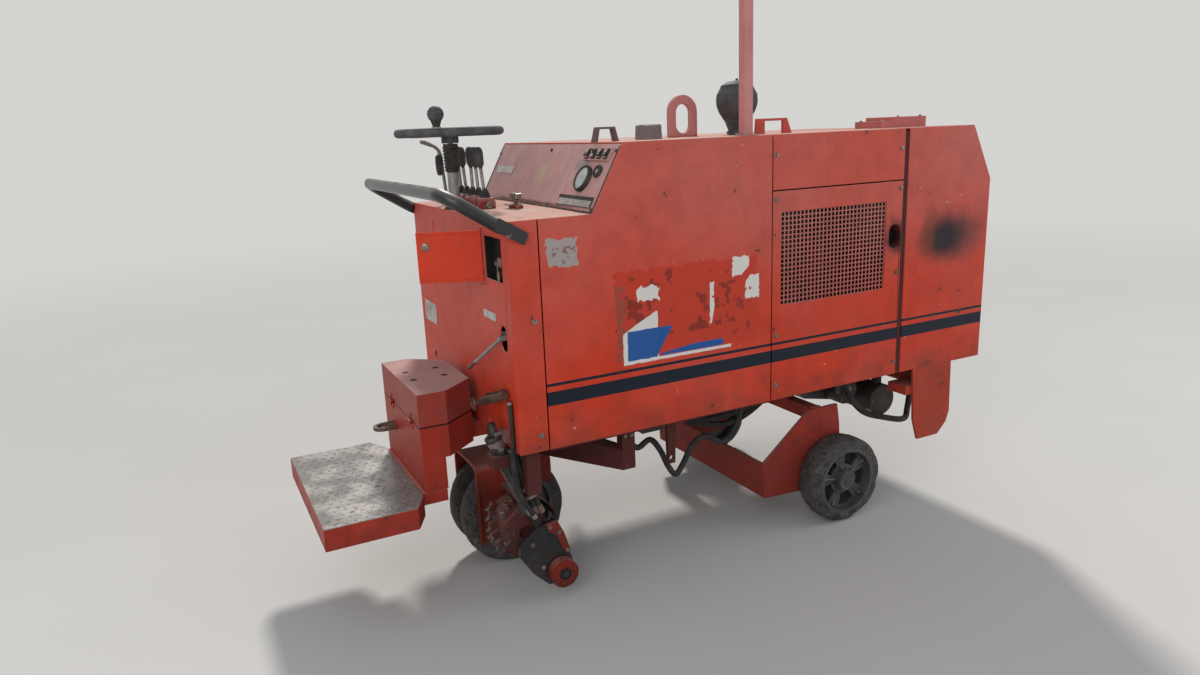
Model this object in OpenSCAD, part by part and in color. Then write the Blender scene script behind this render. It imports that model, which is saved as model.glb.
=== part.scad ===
// Compact ride-on cold planer: sheet metal body on two spoked front wheels and a steered
// twin rear wheel, with a milling drum at the rear right and an operator's step behind.
// Millimetres. X runs forward, Y to the machine's left, Z up from the ground.
// Inside the modules X is measured from the rear face; place() moves it to the middle.

/* [Body] */
// Length from the rear face to the front face
body_l = 2100; // [1900:10:2300]
// Width over the side panels
body_w = 1012; // [960:2:1080]
// Height of the body's bottom edge above the ground
floor_z = 584; // [560:2:620]
// Height of the console top above the ground
console_z = 1326; // [1300:2:1350]
// Height of the hood top above the ground
hood_z = 1540; // [1500:2:1600]
// Thickness of the sheet metal
sheet = 5; // [4:0.5:8]
// Width of the seam between two panels
seam = 5; // [4:0.5:8]
// Length of the rear corner post
post_l = 100; // [80:2:120]
// Length of the plain side panel
side_l = 887; // [840:1:940]
// Length of the grille panel and of the hood lid above it
grille_l = 621; // [560:1:660]
// Width of the dark recess ahead of the grille panel
recess_w = 24; // [16:1:34]
// Height of the seam below the hood lid
lid_seam_z = 1349; // [1335:1:1380]
// Distance of the instrument panel's foot from the rear face
panel_foot_x = 289; // [270:1:310]
// Distance of the instrument panel's top from the rear face
panel_top_x = 406; // [380:1:440]
// Depth of the slanted front edge of the hood, along the body
chamfer_l = 111; // [80:1:150]
// Depth of the slanted front edge of the hood, downwards
chamfer_h = 213; // [160:1:260]

/* [Grille] */
// Length of the perforated sheet's window
grille_win_l = 500; // [420:5:540]
// Height of the perforated sheet's window
grille_win_h = 334; // [280:2:380]
// Height of the window's lower edge
grille_win_z = 939; // [900:1:980]
// Pitch of the square holes
hole_pitch = 25; // [20:1:30]
// Width of one square hole
hole_w = 15; // [11:0.5:18]
// Width of the oval exhaust outlet
exhaust_w = 56; // [44:1:70]
// Height of the oval exhaust outlet
exhaust_h = 90; // [70:1:110]

/* [Front wheels] */
// Diameter of the front wheels
front_d = 350; // [320:2:380]
// Width of the front wheels
front_w = 104; // [80:2:120]
// Distance of the front axle from the rear face
front_x = 1386; // [1350:2:1420]
// Thickness of the front wheels' rubber
front_rubber = 42; // [34:1:50]
// Number of kidney-shaped windows in a front rim
windows = 5; // [4:1:6]

/* [Rear wheel] */
// Diameter of the twin rear wheel
rear_d = 400; // [370:2:420]
// Width of each of its two tyres
rear_tyre_w = 64; // [50:1:70]
// Gap between the two tyres
rear_gap = 68; // [50:1:80]
// Thickness of the rear tyres' rubber
rear_rubber = 46; // [34:1:60]
// Distance of the kingpin from the rear face
king_x = 120; // [110:2:140]

/* [Milling drum] */
// Diameter over the tips of the picks
drum_d = 232; // [220:2:250]
// Diameter of the drum's shell
drum_shell_d = 170; // [150:2:186]
// Length of the drum
drum_w = 146; // [130:1:150]
// Distance of the drum's axis from the rear face
drum_x = 58; // [50:1:70]
// Height of the drum's axis
drum_z = 240; // [230:1:250]
// Number of picks
picks = 24; // [16:2:30]

/* [Step and box] */
// Distance of the step's rear edge behind the rear face
step_rear = 600; // [560:5:660]
// Height of the step's surface
step_z = 418; // [400:2:440]
// Width of the step
step_w = 700; // [640:5:760]
// Height of the step's skirt
skirt_h = 72; // [55:1:90]
// Height of the box's top, without the seat
box_z = 761; // [740:1:790]
// Height of the box's lid line
box_seam_z = 645; // [630:1:670]
// Width of the box at its rear
box_w = 484; // [440:2:520]
// Distance between the seat bolts, each way
seat_pitch = 110; // [90:5:140]

/* [Mast and fittings] */
// Width of the square mast
mast_w = 35; // [28:1:44]
// Height of the mast's top above the ground
mast_z = 2100; // [1990:10:2250]
// Diameter of the steering wheel
steer_d = 380; // [340:2:400]
// Height of the steering wheel's rim
steer_z = 1592; // [1580:2:1640]

/* [Hidden] */
$fn = 48;
half = body_w / 2;
inner = half - sheet;
mid_x = (body_l - step_rear) / 2;
side_x = post_l + seam;
grille_x = side_x + side_l + seam;
grille_end = grille_x + grille_l;
cowl_x = grille_end + recess_w;
lid_x = grille_x;
lid_end = grille_end;
front_r = front_d / 2;
rear_r = rear_d / 2;
drum_r = drum_d / 2;
fit = 0.08;
run_gap = 6;
drum_out = -(half - 150);
drum_in = drum_out + drum_w;
arm_t = 14;
arm_y = half - front_w - run_gap - arm_t;
axle_r = 24;
fork_y = rear_gap / 2 + rear_tyre_w + 14;
fork_t = 8;
fork_top = rear_d + run_gap + 2;
fork_r = 30;
king_r = 26;
king_low = fork_top + fork_t + 8;
leg_y = -(half - 118);

red = [0.72, 0.22, 0.15];
dark_red = [0.45, 0.13, 0.10];
black = [0.07, 0.07, 0.08];
steel = [0.45, 0.45, 0.44];
rubber = [0.13, 0.13, 0.13];
cast = [0.27, 0.27, 0.26];

// Moves the modules' frame, measured from the rear face, to the middle of the machine
module place() translate([-mid_x, 0, 0]) children();

// A plate in the XZ plane from y0 to y0 + t
module side_plate(points, y0, t)
    translate([0, y0 + t, 0]) rotate([90, 0, 0]) linear_extrude(t) polygon(points);

// A cylinder along Y from y0 to y0 + l
module across(x, z, y0, l, r)
    translate([x, y0, z]) rotate([-90, 0, 0]) cylinder(h = l, r = r);

// A box given by its low and high corners
module block(lo, hi) translate(lo) cube([hi[0] - lo[0], hi[1] - lo[1], hi[2] - lo[2]]);

// A round bar between two points
module bar(p, q, r) {
    d = q - p;
    l = norm(d);
    translate(p) rotate([0, acos(d[2] / l), atan2(d[1], d[0])]) cylinder(h = l, r = r);
}

// A leaf hinge with its pin along X: the fixed half carries the pin and hangs below it
hinge_off = 6;
module hinge(l, moving) {
    r = 5.5;
    pin = 3;
    gap = 0.5;
    if (moving) difference() {
        union() {
            translate([-l / 6 + gap, 0, 0]) rotate([0, 90, 0]) cylinder(h = l / 3 - 2 * gap, r = r);
            block([-l / 6 + gap, -hinge_off, 0], [l / 6 - gap, -hinge_off + 3, 26]);
        }
        translate([-l, 0, 0]) rotate([0, 90, 0]) cylinder(h = 2 * l, r = pin + fit);
    } else {
        translate([-l / 2, 0, 0]) rotate([0, 90, 0]) cylinder(h = l, r = pin);
        for (x = [-l / 2, l / 6 + gap]) {
            translate([x, 0, 0]) rotate([0, 90, 0]) cylinder(h = l / 3 - gap, r = r);
            block([x, -hinge_off, -26], [x + l / 3 - gap, -hinge_off + 3, 0]);
        }
    }
}

// Both sides of the machine
module both() {
    children();
    mirror([0, 1, 0]) children();
}

// Points of a smooth curve through the given points, n steps to each stretch
function blend_point(a, b, c, d, t) =
    0.5 * (2 * b + (c - a) * t + (2 * a - 5 * b + 4 * c - d) * t * t
           + (3 * b - a - 3 * c + d) * t * t * t);
function curve(p, n) = [
    for (i = [0 : len(p) - 2]) for (k = [0 : n - 1])
        blend_point(p[max(i - 1, 0)], p[i], p[i + 1], p[min(i + 2, len(p) - 1)], k / n),
    p[len(p) - 1]
];

// A hose of radius r swept along a smooth curve, ref being a direction it never runs in
module hose(points, r, ref, n = 4) {
    c = curve(points, n);
    m = len(c);
    s = 8;
    dir = [for (i = [0 : m - 1]) let (d = c[min(i + 1, m - 1)] - c[max(i - 1, 0)]) d / norm(d)];
    ring = [for (i = [0 : m - 1]) let (
        u = cross(dir[i], ref) / norm(cross(dir[i], ref)), v = cross(dir[i], u))
        for (k = [0 : s - 1]) c[i] + r * (cos(360 * k / s) * u + sin(360 * k / s) * v)];
    polyhedron(ring, concat(
        [[for (k = [0 : s - 1]) k]],
        [for (i = [0 : m - 2]) for (k = [0 : s - 1])
            [i * s + k, (i + 1) * s + k, (i + 1) * s + (k + 1) % s, i * s + (k + 1) % s]],
        [[for (k = [0 : s - 1]) m * s - 1 - k]]));
}

// Floor pan with two rails and the cross-members below the body
module floor_frame() color(dark_red) place() {
    block([sheet, -inner, floor_z], [body_l - sheet, inner, floor_z + sheet]);
    both() block([420, 300, floor_z - 70], [body_l - 300, 340, floor_z]);
    for (x = [430, 900, front_x - 96, body_l - 220])
        block([x, -300, floor_z - 60], [x + 50, 300, floor_z]);
}

// Rear face, corner posts and console top in one bent shell
key_y = [-452, -301];
key_z = [1132, 1269];
hinge_x = -7;
hinge_y = -293;
door_z = [1119, 1284];
oval = [-428, 952];
module rear_shell() color(red) place() {
    difference() {
        union() {
            block([0, -half, floor_z], [sheet, half, console_z]);
            both() block([0, inner, floor_z], [post_l, half, console_z]);
            block([0, -half, console_z - sheet], [post_l, half, console_z]);
            block([post_l, -inner, console_z - sheet], [panel_foot_x, inner, console_z]);
        }
        block([-1, key_y[0], key_z[0]], [sheet + 1, key_y[1], key_z[1]]);
        translate([-1, oval[0], oval[1]]) rotate([0, 90, 0]) linear_extrude(sheet + 2)
            for (s = [-1, 1]) {
                translate([s * 15, 0]) circle(r = 27);
                square([30, 54], center = true);
            }
        block([-1, 246, 1233], [sheet + 1, 256, 1275]);
        translate([-1, 368, 729]) rotate([0, 90, 0]) cylinder(h = sheet + 2, r = 14);
    }
    for (z = [door_z[0] - 12, door_z[1] + 1])
        block([hinge_x - 4, hinge_y - 4, z], [0, hinge_y + 4, z + 11]);
    translate([hinge_x, hinge_y, door_z[0] - 6]) cylinder(h = door_z[1] - door_z[0] + 12, r = 2);
}

// Slanted instrument panel with its gauge, switch block and blank plates
panel_dx = panel_top_x - panel_foot_x;
panel_dz = hood_z - console_z;
panel_tilt = atan2(panel_dx, panel_dz);
panel_h = norm([panel_dx, panel_dz]);
module on_panel(y, s) translate([panel_foot_x, y, console_z]) rotate([0, panel_tilt, 0])
    translate([0, 0, s]) children();
module instrument_panel() color(red) place() {
    on_panel(0, 0) block([0, -inner, 2], [sheet, inner, panel_h - 6]);
    on_panel(-353, 112) rotate([0, -90, 0]) difference() {
        cylinder(h = 12, r = 43);
        translate([0, 0, 7]) cylinder(h = 6, r = 36);
    }
    on_panel(-432, 140) rotate([0, -90, 0]) cylinder(h = 9, r = 19);
    on_panel(-392, 198) block([-10, -86, -22], [0, 86, 22]);
    for (i = [0 : 3])
        on_panel(-456 + 43 * i, 198) block([-20, -9, -14], [-10, 9, 14]);
    on_panel(-352, 34) block([-3, -126, -20], [0, 126, 20]);
    on_panel(376, 138) block([-2, -92, -22], [0, 92, 22]);
}

// One plain side panel, its rear top corner following the console and instrument panel
side_outline = [
    [side_x, floor_z], [side_x + side_l, floor_z], [side_x + side_l, hood_z],
    [panel_top_x, hood_z], [panel_foot_x, console_z], [side_x, console_z]
];
module side_panel_left() color(red) place() side_plate(side_outline, inner, sheet);
module side_panel_right() color(red) place()
    mirror([0, 1, 0]) side_plate(side_outline, inner, sheet);

// Hood top between the instrument panel and the lid
module hood_top() color(red) place()
    block([panel_top_x, -inner, hood_z - sheet], [side_x + side_l, inner, hood_z]);

// Grille panel below the lid, with the window for the perforated sheet
win_x = grille_x + 38;
exhaust_x = grille_end - 36;
exhaust_z = 1138;
grille_top = lid_seam_z - seam / 2;
module grille_sheet() difference() {
    side_plate([[grille_x, floor_z], [grille_end, floor_z], [grille_end, grille_top],
                [grille_x, grille_top]], inner, sheet);
    block([win_x, inner - 1, grille_win_z],
          [win_x + grille_win_l, half + 1, grille_win_z + grille_win_h]);
}
module exhaust_oval(grow, y0, t)
    translate([exhaust_x, y0 + t, exhaust_z]) rotate([90, 0, 0]) linear_extrude(t) {
        for (s = [-1, 1])
            translate([0, s * (exhaust_h - exhaust_w) / 2]) circle(r = exhaust_w / 2 + grow);
        square([exhaust_w + 2 * grow, exhaust_h - exhaust_w], center = true);
    }
lid_hinges = [grille_x + 90, grille_end - 90];
module lid_hinge(moving)
    for (x = lid_hinges) translate([x, half + hinge_off, lid_seam_z]) hinge(66, moving);
module grille_panel_left() color(red) place() {
    grille_sheet();
    lid_hinge(false);
}
module grille_panel_right() color(red) place() mirror([0, 1, 0]) difference() {
    union() {
        grille_sheet();
        exhaust_oval(4, inner - 40, 40);
    }
    exhaust_oval(0, inner - 50, 60);
}

// Perforated sheets behind both windows
module grille_screens() color(red) place() both()
    translate([win_x, inner, grille_win_z]) rotate([90, 0, 0]) linear_extrude(3) difference() {
        translate([-12, -12]) square([grille_win_l + 24, grille_win_h + 24]);
        for (i = [0 : floor(grille_win_l / hole_pitch) - 1])
            for (k = [0 : floor(grille_win_h / hole_pitch) - 1])
                translate([(i + 0.5) * hole_pitch - hole_w / 2, (k + 0.2) * hole_pitch])
                    square(hole_w);
    }

// Front cowl: two sides, slanted top edge, top and front face with the radiator's window
cowl_outline = [
    [cowl_x, floor_z], [body_l, floor_z], [body_l, hood_z - chamfer_h],
    [body_l - chamfer_l, hood_z], [cowl_x, hood_z]
];
rad_y = 350;
rad_z = [700, 1250];
module front_cowl() color(red) place() {
    difference() {
        translate([0, half, 0]) rotate([90, 0, 0]) linear_extrude(body_w) polygon(cowl_outline);
        translate([0, inner, 0]) rotate([90, 0, 0]) linear_extrude(2 * inner) polygon([
            [cowl_x - 1, floor_z - 1], [body_l - sheet, floor_z - 1],
            [body_l - sheet, hood_z - chamfer_h - 1],
            [body_l - chamfer_l - 3, hood_z - sheet], [cowl_x - 1, hood_z - sheet]]);
        block([body_l - sheet - 1, -rad_y, rad_z[0]], [body_l + 1, rad_y, rad_z[1]]);
    }
    both() block([grille_end + run_gap, inner - 4, floor_z + sheet], [cowl_x + 17, inner, hood_z - 12]);
}

// Horizontal bars in the radiator's window
module front_grille() color(black) place() {
    difference() {
        block([body_l - sheet - 4, -rad_y - 10, rad_z[0] - 10],
              [body_l - sheet, rad_y + 10, rad_z[1] + 10]);
        block([body_l - 20, -rad_y + 8, rad_z[0] + 8], [body_l, rad_y - 8, rad_z[1] - 8]);
    }
    for (k = [0 : 10])
        block([body_l - sheet - 4, -rad_y, rad_z[0] + 26 + 48 * k],
              [body_l - 1, rad_y, rad_z[0] + 40 + 48 * k]);
}

// Lower side plates below the cowl, tied by a cross tube, with a stop on the right one
skirt_t = 10;
skirt_x = body_l - 382;
skirt_outline = [
    [0, floor_z], [219, floor_z], [225, 367], [210, 322], [161, 274], [44, 274], [15, 364]
];
module front_skirts() color(red) place() translate([skirt_x, 0, 0]) {
    both() side_plate(skirt_outline, half - skirt_t, skirt_t);
    across(127, 500, -half + skirt_t, 2 * (half - skirt_t), 26);
    block([-26, -half + skirt_t - 1, 475], [80, -half + 106, 512]);
}

// Engine, radiator and the sump, pump, silencer and valve block that show below the floor
module engine_block() color(cast) place()
    block([1030, -230, floor_z + sheet + 0.3], [1560, 230, 1240]);
module radiator_core() color(black) place()
    block([body_l - 160, -360, floor_z + sheet], [body_l - 90, 360, 1260]);
under = floor_z - 0.3;
module engine_sump() color(black) place() {
    side_plate([[1362, under], [1362, 470], [1400, 440], [1600, 400], [1640, 430], [1640, under]],
               -220, 380);
    across(1560, 470, -296, 76, 60);
    translate([1640, -70, 528]) rotate([0, 90, 0]) cylinder(h = 150, r = 45);
    block([1660, -240, 505], [1780, -150, under]);
    across(1745, 400, -320, 390, 68);
    for (y = [-298, 20])
        block([1730, y, 400], [1760, y + 30, under]);
    block([565, -296, 478], [655, -216, under]);
}

// U-shaped front frame: two bent arms, cross-beams, the middle post and the stub axles
arm_outline = [
    [-338, 281], [-116, 457], [-86, 462], [35, 462], [48, 380], [60, 190],
    [50, 140], [18, 118], [-330, 137]
];
module front_frame() color(red) place() translate([front_x, 0, 0]) {
    both() {
        side_plate(arm_outline, arm_y, arm_t);
        across(0, front_r, arm_y + arm_t, half - arm_y - arm_t - 8, axle_r);
    }
    side_plate([[-338, 281], [-324, 281], [-316, 137], [-330, 137]], -arm_y, 2 * arm_y);
    block([-90, -arm_y, 412], [-40, arm_y, 462]);
    block([-94, -60, 462], [-48, 60, floor_z - 60.3]);
}

// Rear frame: kingpin housing with two diagonal beams to posts below the body's sides
post_x = 400;
post_y = half - 81;
module rear_frame() color(dark_red) place() {
    difference() {
        union() {
            translate([king_x, 0, king_low]) cylinder(h = floor_z - king_low, r = 52);
            both() {
                hull() {
                    block([king_x + 20, -10, king_low + 6], [king_x + 60, 50, 560]);
                    block([post_x, post_y - 30, king_low], [post_x + 40, post_y + 20, 492]);
                }
                block([post_x, post_y - 20, king_low], [post_x + 50, post_y + 20, floor_z]);
            }
        }
        translate([king_x, 0, king_low - 10]) cylinder(h = 116, r = king_r + fit);
    }
    both() difference() {
        side_plate([[588, floor_z], [628, floor_z], [622, 400], [594, 400]], post_y - 8, 16);
        across(608, 420, post_y - 9, 18, 10);
    }
}

// Box behind the rear face that carries the seat, open at the top
box_rear = -247;
box_bend = -150;
box_front = -35;
box_front_w = 290;
box_low_x = -167;
function box_plan(i) = [
    [box_rear + i, -box_w / 2 + i], [box_bend, -box_w / 2 + i],
    [box_front - i, -box_front_w / 2 + i], [box_front - i, box_front_w / 2 - i],
    [box_bend, box_w / 2 - i], [box_rear + i, box_w / 2 - i]
];
module box_hinge(moving)
    for (y = [-130, 130])
        translate([box_rear - hinge_off, y, box_seam_z + 0.5]) rotate([0, 0, 90])
            hinge(54, moving);
module seat_box() color(red) place() {
    difference() {
        translate([0, 0, step_z]) linear_extrude(box_seam_z - step_z) polygon(box_plan(0));
        translate([0, 0, step_z + sheet]) linear_extrude(box_seam_z) intersection() {
            polygon(box_plan(sheet));
            translate([box_rear, -box_w / 2]) square([box_low_x - box_rear - sheet, box_w]);
        }
        translate([0, 0, 535]) linear_extrude(box_seam_z) polygon(box_plan(sheet));
        block([box_low_x, -box_w, step_z - 1], [0, box_w, 530]);
    }
    block([box_rear - 12, -box_w / 2 - 4, step_z - 42], [box_low_x - 5, box_w / 2 + 4, step_z]);
    block([box_front, -110, 530], [king_x - 52.3, 110, floor_z - 0.2]);
    box_hinge(false);
}

// Lid of the box, with the bolt holes of the missing seat
module box_lid() color(red) place() {
    difference() {
        translate([0, 0, box_seam_z + 1]) linear_extrude(box_z - box_seam_z - 1)
            polygon(box_plan(0));
        translate([0, 0, box_seam_z]) linear_extrude(box_z - box_seam_z - sheet)
            polygon(box_plan(sheet));
        for (dx = [-1, 1]) for (dy = [-1, 1])
            translate([-150 + dx * seat_pitch / 2, dy * seat_pitch / 2, box_z - 20])
                cylinder(h = 30, r = 5.5);
    }
    box_hinge(true);
}

// Flat towing eye on the box's rear face
module tow_eye() color(dark_red) place() difference() {
    translate([box_rear, 118, 545]) linear_extrude(14) union() {
        translate([-45, 0]) circle(r = 34);
        translate([-45, -34]) square([45, 68]);
    }
    translate([box_rear - 45, 118, 540]) cylinder(h = 24, r = 20);
}

// Operator's step: plate with a skirt all round
step_front = -302;
step_neck = box_rear - 12.3;
module step() color(red) place() {
    difference() {
        translate([0, 0, step_z - skirt_h]) linear_extrude(skirt_h) polygon([
            [-step_rear, -step_w / 2], [step_front, -step_w / 2], [step_neck, -box_w / 2 - 20],
            [step_neck, box_w / 2 + 20], [step_front, step_w / 2], [-step_rear, step_w / 2]]);
        translate([0, 0, step_z - skirt_h - 1]) linear_extrude(skirt_h - 4) polygon([
            [-step_rear + sheet, -step_w / 2 + sheet], [step_front - 3, -step_w / 2 + sheet],
            [step_neck - sheet, -box_w / 2 - 18], [step_neck - sheet, box_w / 2 + 18],
            [step_front - 3, step_w / 2 - sheet], [-step_rear + sheet, step_w / 2 - sheet]]);
    }
    for (y = [-150, 150])
        block([-step_rear + sheet, y - 20, step_z - 40], [step_neck - 1, y + 20, step_z - 5]);
}

// Hood of the milling drum: inner side plate with the hub motor, cover over the front upper
// part, and the post with the collar that holds the leg
hood_in = drum_in + 20;
hood_t = 8;
module drum_hood() color(dark_red) place() {
    difference() {
        union() {
            side_plate([[drum_x - 60, drum_z - 56], [drum_x + 70, drum_z - 50], [175, 330],
                        [175, under], [95, under], [95, 340], [drum_x - 50, drum_z + 62],
                        [drum_x - 74, drum_z]], hood_in - hood_t, hood_t);
            across(drum_x, drum_z, drum_in + run_gap, hood_in - drum_in + run_gap, 62);
        }
        across(drum_x, drum_z, -500, 600, 24 - 0.5);
    }
    across(drum_x, drum_z, drum_out + 14, hood_in - drum_out - 2, 24);
    translate([drum_x, drum_out + run_gap, drum_z]) rotate([-90, 0, 0]) rotate([0, 0, -100])
        rotate_extrude(angle = 88) translate([drum_r + run_gap, 0])
            square([5, hood_in - drum_out - run_gap]);
    difference() {
        union() {
            block([30, -(half - 28), 428], [78, -(half - 64), under]);
            block([50, -(half - 56), 520], [78, leg_y + 34, 560]);
            block([-62, leg_y - 33, 520], [78, leg_y + 34, 560]);
        }
        along_leg() cylinder(h = tube_l, r = tube_r + fit);
    }
}

// Drum with spiral rows of picks in their holders
module milling_drum() color(cast) place() difference() {
    union() {
        across(drum_x, drum_z, drum_out, drum_w, drum_shell_d / 2);
        for (i = [0 : picks - 1]) {
            row = (i * 5) % picks;
            y = drum_out + 14 + (drum_w - 28) * row / (picks - 1);
            translate([drum_x, y, drum_z]) rotate([0, 360 * i / picks, 0]) {
                translate([drum_shell_d / 2 - 8, -11, -34]) cube([27, 22, 36]);
                translate([drum_r - 2, 0, 0]) rotate([0, 218, 0]) cylinder(h = 34, r1 = 2, r2 = 9);
            }
        }
    }
    across(drum_x, drum_z, drum_out - 1, drum_w + 2, 24 + fit);
}

// Leg at the drum's outer side: fixed cylinder tube with its bracket on the rear face
leg_top = [-48, 625];
leg_hub = [158, 98];
leg_dir = (leg_hub - leg_top) / norm(leg_hub - leg_top);
leg_tilt = atan2(leg_dir[0], -leg_dir[1]);
tube_l = 310;
tube_r = 27;
rod_r = 15;
module along_leg(y = leg_y) translate([leg_top[0], y, leg_top[1]])
    rotate([0, 180 - leg_tilt, 0]) children();
module leg_tube() color(black) place() {
    difference() {
        along_leg() cylinder(h = tube_l, r = tube_r);
        along_leg() translate([0, 0, 30]) cylinder(h = tube_l, r = rod_r + fit);
    }
    block([-46, leg_y - 16, 596], [0, leg_y + 16, 640]);
}

// Sliding part of the leg: rod, clevis and the dark side plate that ends in the roller's pin
foot_outline = [
    [112, 282], [66, 264], [14, 224], [13, 178], [58, 106], [112, 52], [158, 44], [198, 62],
    [212, 98], [204, 132], [150, 290]
];
module leg_foot() color(steel) place() {
    along_leg() translate([0, 0, 120]) cylinder(h = 270, r = rod_r);
    difference() {
        along_leg() translate([-24, -20, 385]) cube([48, 40, 52]);
        block([-100, leg_y - 30, 0], [400, leg_y - 8, 700]);
    }
    side_plate(foot_outline, leg_y - 20, 12);
    across(leg_hub[0], leg_hub[1], leg_y - 66, 54, 12);
}
module guide_roller() color(red) place() difference() {
    across(leg_hub[0], leg_hub[1], leg_y - 62, 36, 50);
    across(leg_hub[0], leg_hub[1], leg_y - 63, 38, 12 + fit);
}

// Bent hand rail round the rear of the console
rail_r = 20;
rail_y = half + 12 - rail_r;
rail_l = 198;
rail_bend = 70;
rail_tilt = 32.5;
module hand_rail() color(black) place() both() {
    side_plate([[52, 1253], [68, 1287], [-22, 1340], [-42, 1304]], half, 12);
    translate([-12, 0, 1308]) rotate([0, 180 + rail_tilt, 0]) {
        translate([0, rail_y, 0]) rotate([0, 90, 0]) cylinder(h = rail_l - rail_bend, r = rail_r);
        translate([rail_l - rail_bend, rail_y - rail_bend, 0])
            rotate_extrude(angle = 90) translate([rail_bend, 0]) circle(r = rail_r);
        translate([rail_l, 0, 0]) rotate([-90, 0, 0])
            cylinder(h = rail_y - rail_bend, r = rail_r);
    }
}

// Row of valve levers on the console, with the valve block and a latch
module control_levers() color(black) place() {
    block([92, -40, console_z], [148, 345, console_z + 26]);
    for (i = [0 : 5])
        translate([120, -12 + 64 * i, console_z + 18])
            rotate([-2, -4 + 2 * (i % 3), 0]) rotate_extrude() polygon([
                [0, 0], [6, 0], [6, 122], [9, 126], [14, 136], [16, 172], [14, 186], [8, 193],
                [0, 195]]);
    block([184, -135, console_z], [212, -65, console_z + 12]);
    translate([198, -100, console_z + 12]) cylinder(h = 22, r = 7);
    block([188, -132, console_z + 34], [208, -68, console_z + 52]);
}

// Steering column with its boot, and the wheel with a flat rim and a spinner knob
column = [34, 70];
module steering_column() color(black) place()
    translate([column[0], column[1], console_z]) {
        cylinder(h = 24, r = 34);
        cylinder(h = 130, r = 19);
        translate([0, 0, 130]) cylinder(h = 96, r1 = 21, r2 = 25);
        cylinder(h = steer_z - console_z - 8, r = 9);
    }
module steering_wheel() color(black) place() translate([column[0], column[1], steer_z]) {
    rotate_extrude($fn = 72) translate([steer_d / 2 - 15, 0]) circle(r = 15);
    difference() {
        union() {
            translate([0, 0, -38]) cylinder(h = 36, r = 30);
            for (a = [90, 210, 330]) rotate([0, 0, a])
                block([0, -13, -16], [steer_d / 2 - 15, 13, -6]);
        }
        translate([0, 0, -39]) cylinder(h = 33, r = 9 + fit);
    }
    rotate([0, 0, 239]) translate([steer_d / 2 - 15, 0, 0]) {
        cylinder(h = 36, r = 8);
        translate([0, 0, 58]) sphere(r = 27);
    }
}

// Lifting eye, square mast with its beacon, air pre-cleaner and small hood fittings
eye_r = 63;
module lifting_eye() color(red) place() translate([900, -80, hood_z]) difference() {
    union() {
        block([-eye_r, -9, 0], [eye_r, 9, 91]);
        across(0, 91, -9, 18, eye_r);
    }
    for (z = [45, 90])
        across(0, z, -10, 20, eye_r - 32);
    block([-eye_r + 32, -10, 45], [eye_r - 32, 10, 90]);
}
mast_x = 905;
mast_y = -470;
module mast() color(red) place() translate([mast_x, mast_y, hood_z]) {
    difference() {
        block([-mast_w / 2, -mast_w / 2, 0], [mast_w / 2, mast_w / 2, mast_z - hood_z]);
        block([-mast_w / 2 + 4, -mast_w / 2 + 4, 10],
              [mast_w / 2 - 4, mast_w / 2 - 4, mast_z - hood_z - 5]);
    }
}
module beacon() color([0.9, 0.45, 0.05]) place() translate([mast_x, mast_y, mast_z])
    rotate_extrude() polygon([
        [0, 0], [47, 0], [47, 24], [43, 30], [42, 86], [34, 104], [16, 112], [0, 113]]);
module pre_cleaner() color(black) place() translate([1097, -158, hood_z])
    rotate_extrude() polygon([
        [0, 0], [32, 0], [33, 19], [48, 56], [66, 84], [75, 108], [77, 128], [74, 152],
        [60, 178], [36, 195], [0, 200]]);
cap_r = 46;
module hood_fittings() color(red) place() {
    translate([651, -250, hood_z]) {
        cylinder(h = 22, r = cap_r + 1);
        cylinder(h = 48, r = cap_r - 3);
        for (a = [0 : 20 : 340]) rotate([0, 0, a])
            translate([cap_r - 4, 0, 0]) cylinder(h = 46, r = 4);
    }
    translate([452, -300, hood_z]) difference() {
        side_plate([[-46, 0], [46, 0], [33, 48], [-33, 48]], -14, 28);
        side_plate([[-34, -1], [34, -1], [25, 41], [-25, 41]], -15, 30);
    }
    translate([cowl_x + 61, -300, hood_z]) {
        block([0, 0, 0], [243, 150, 27]);
        block([59, 0, 27], [243, 150, 42]);
    }
}

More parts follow.
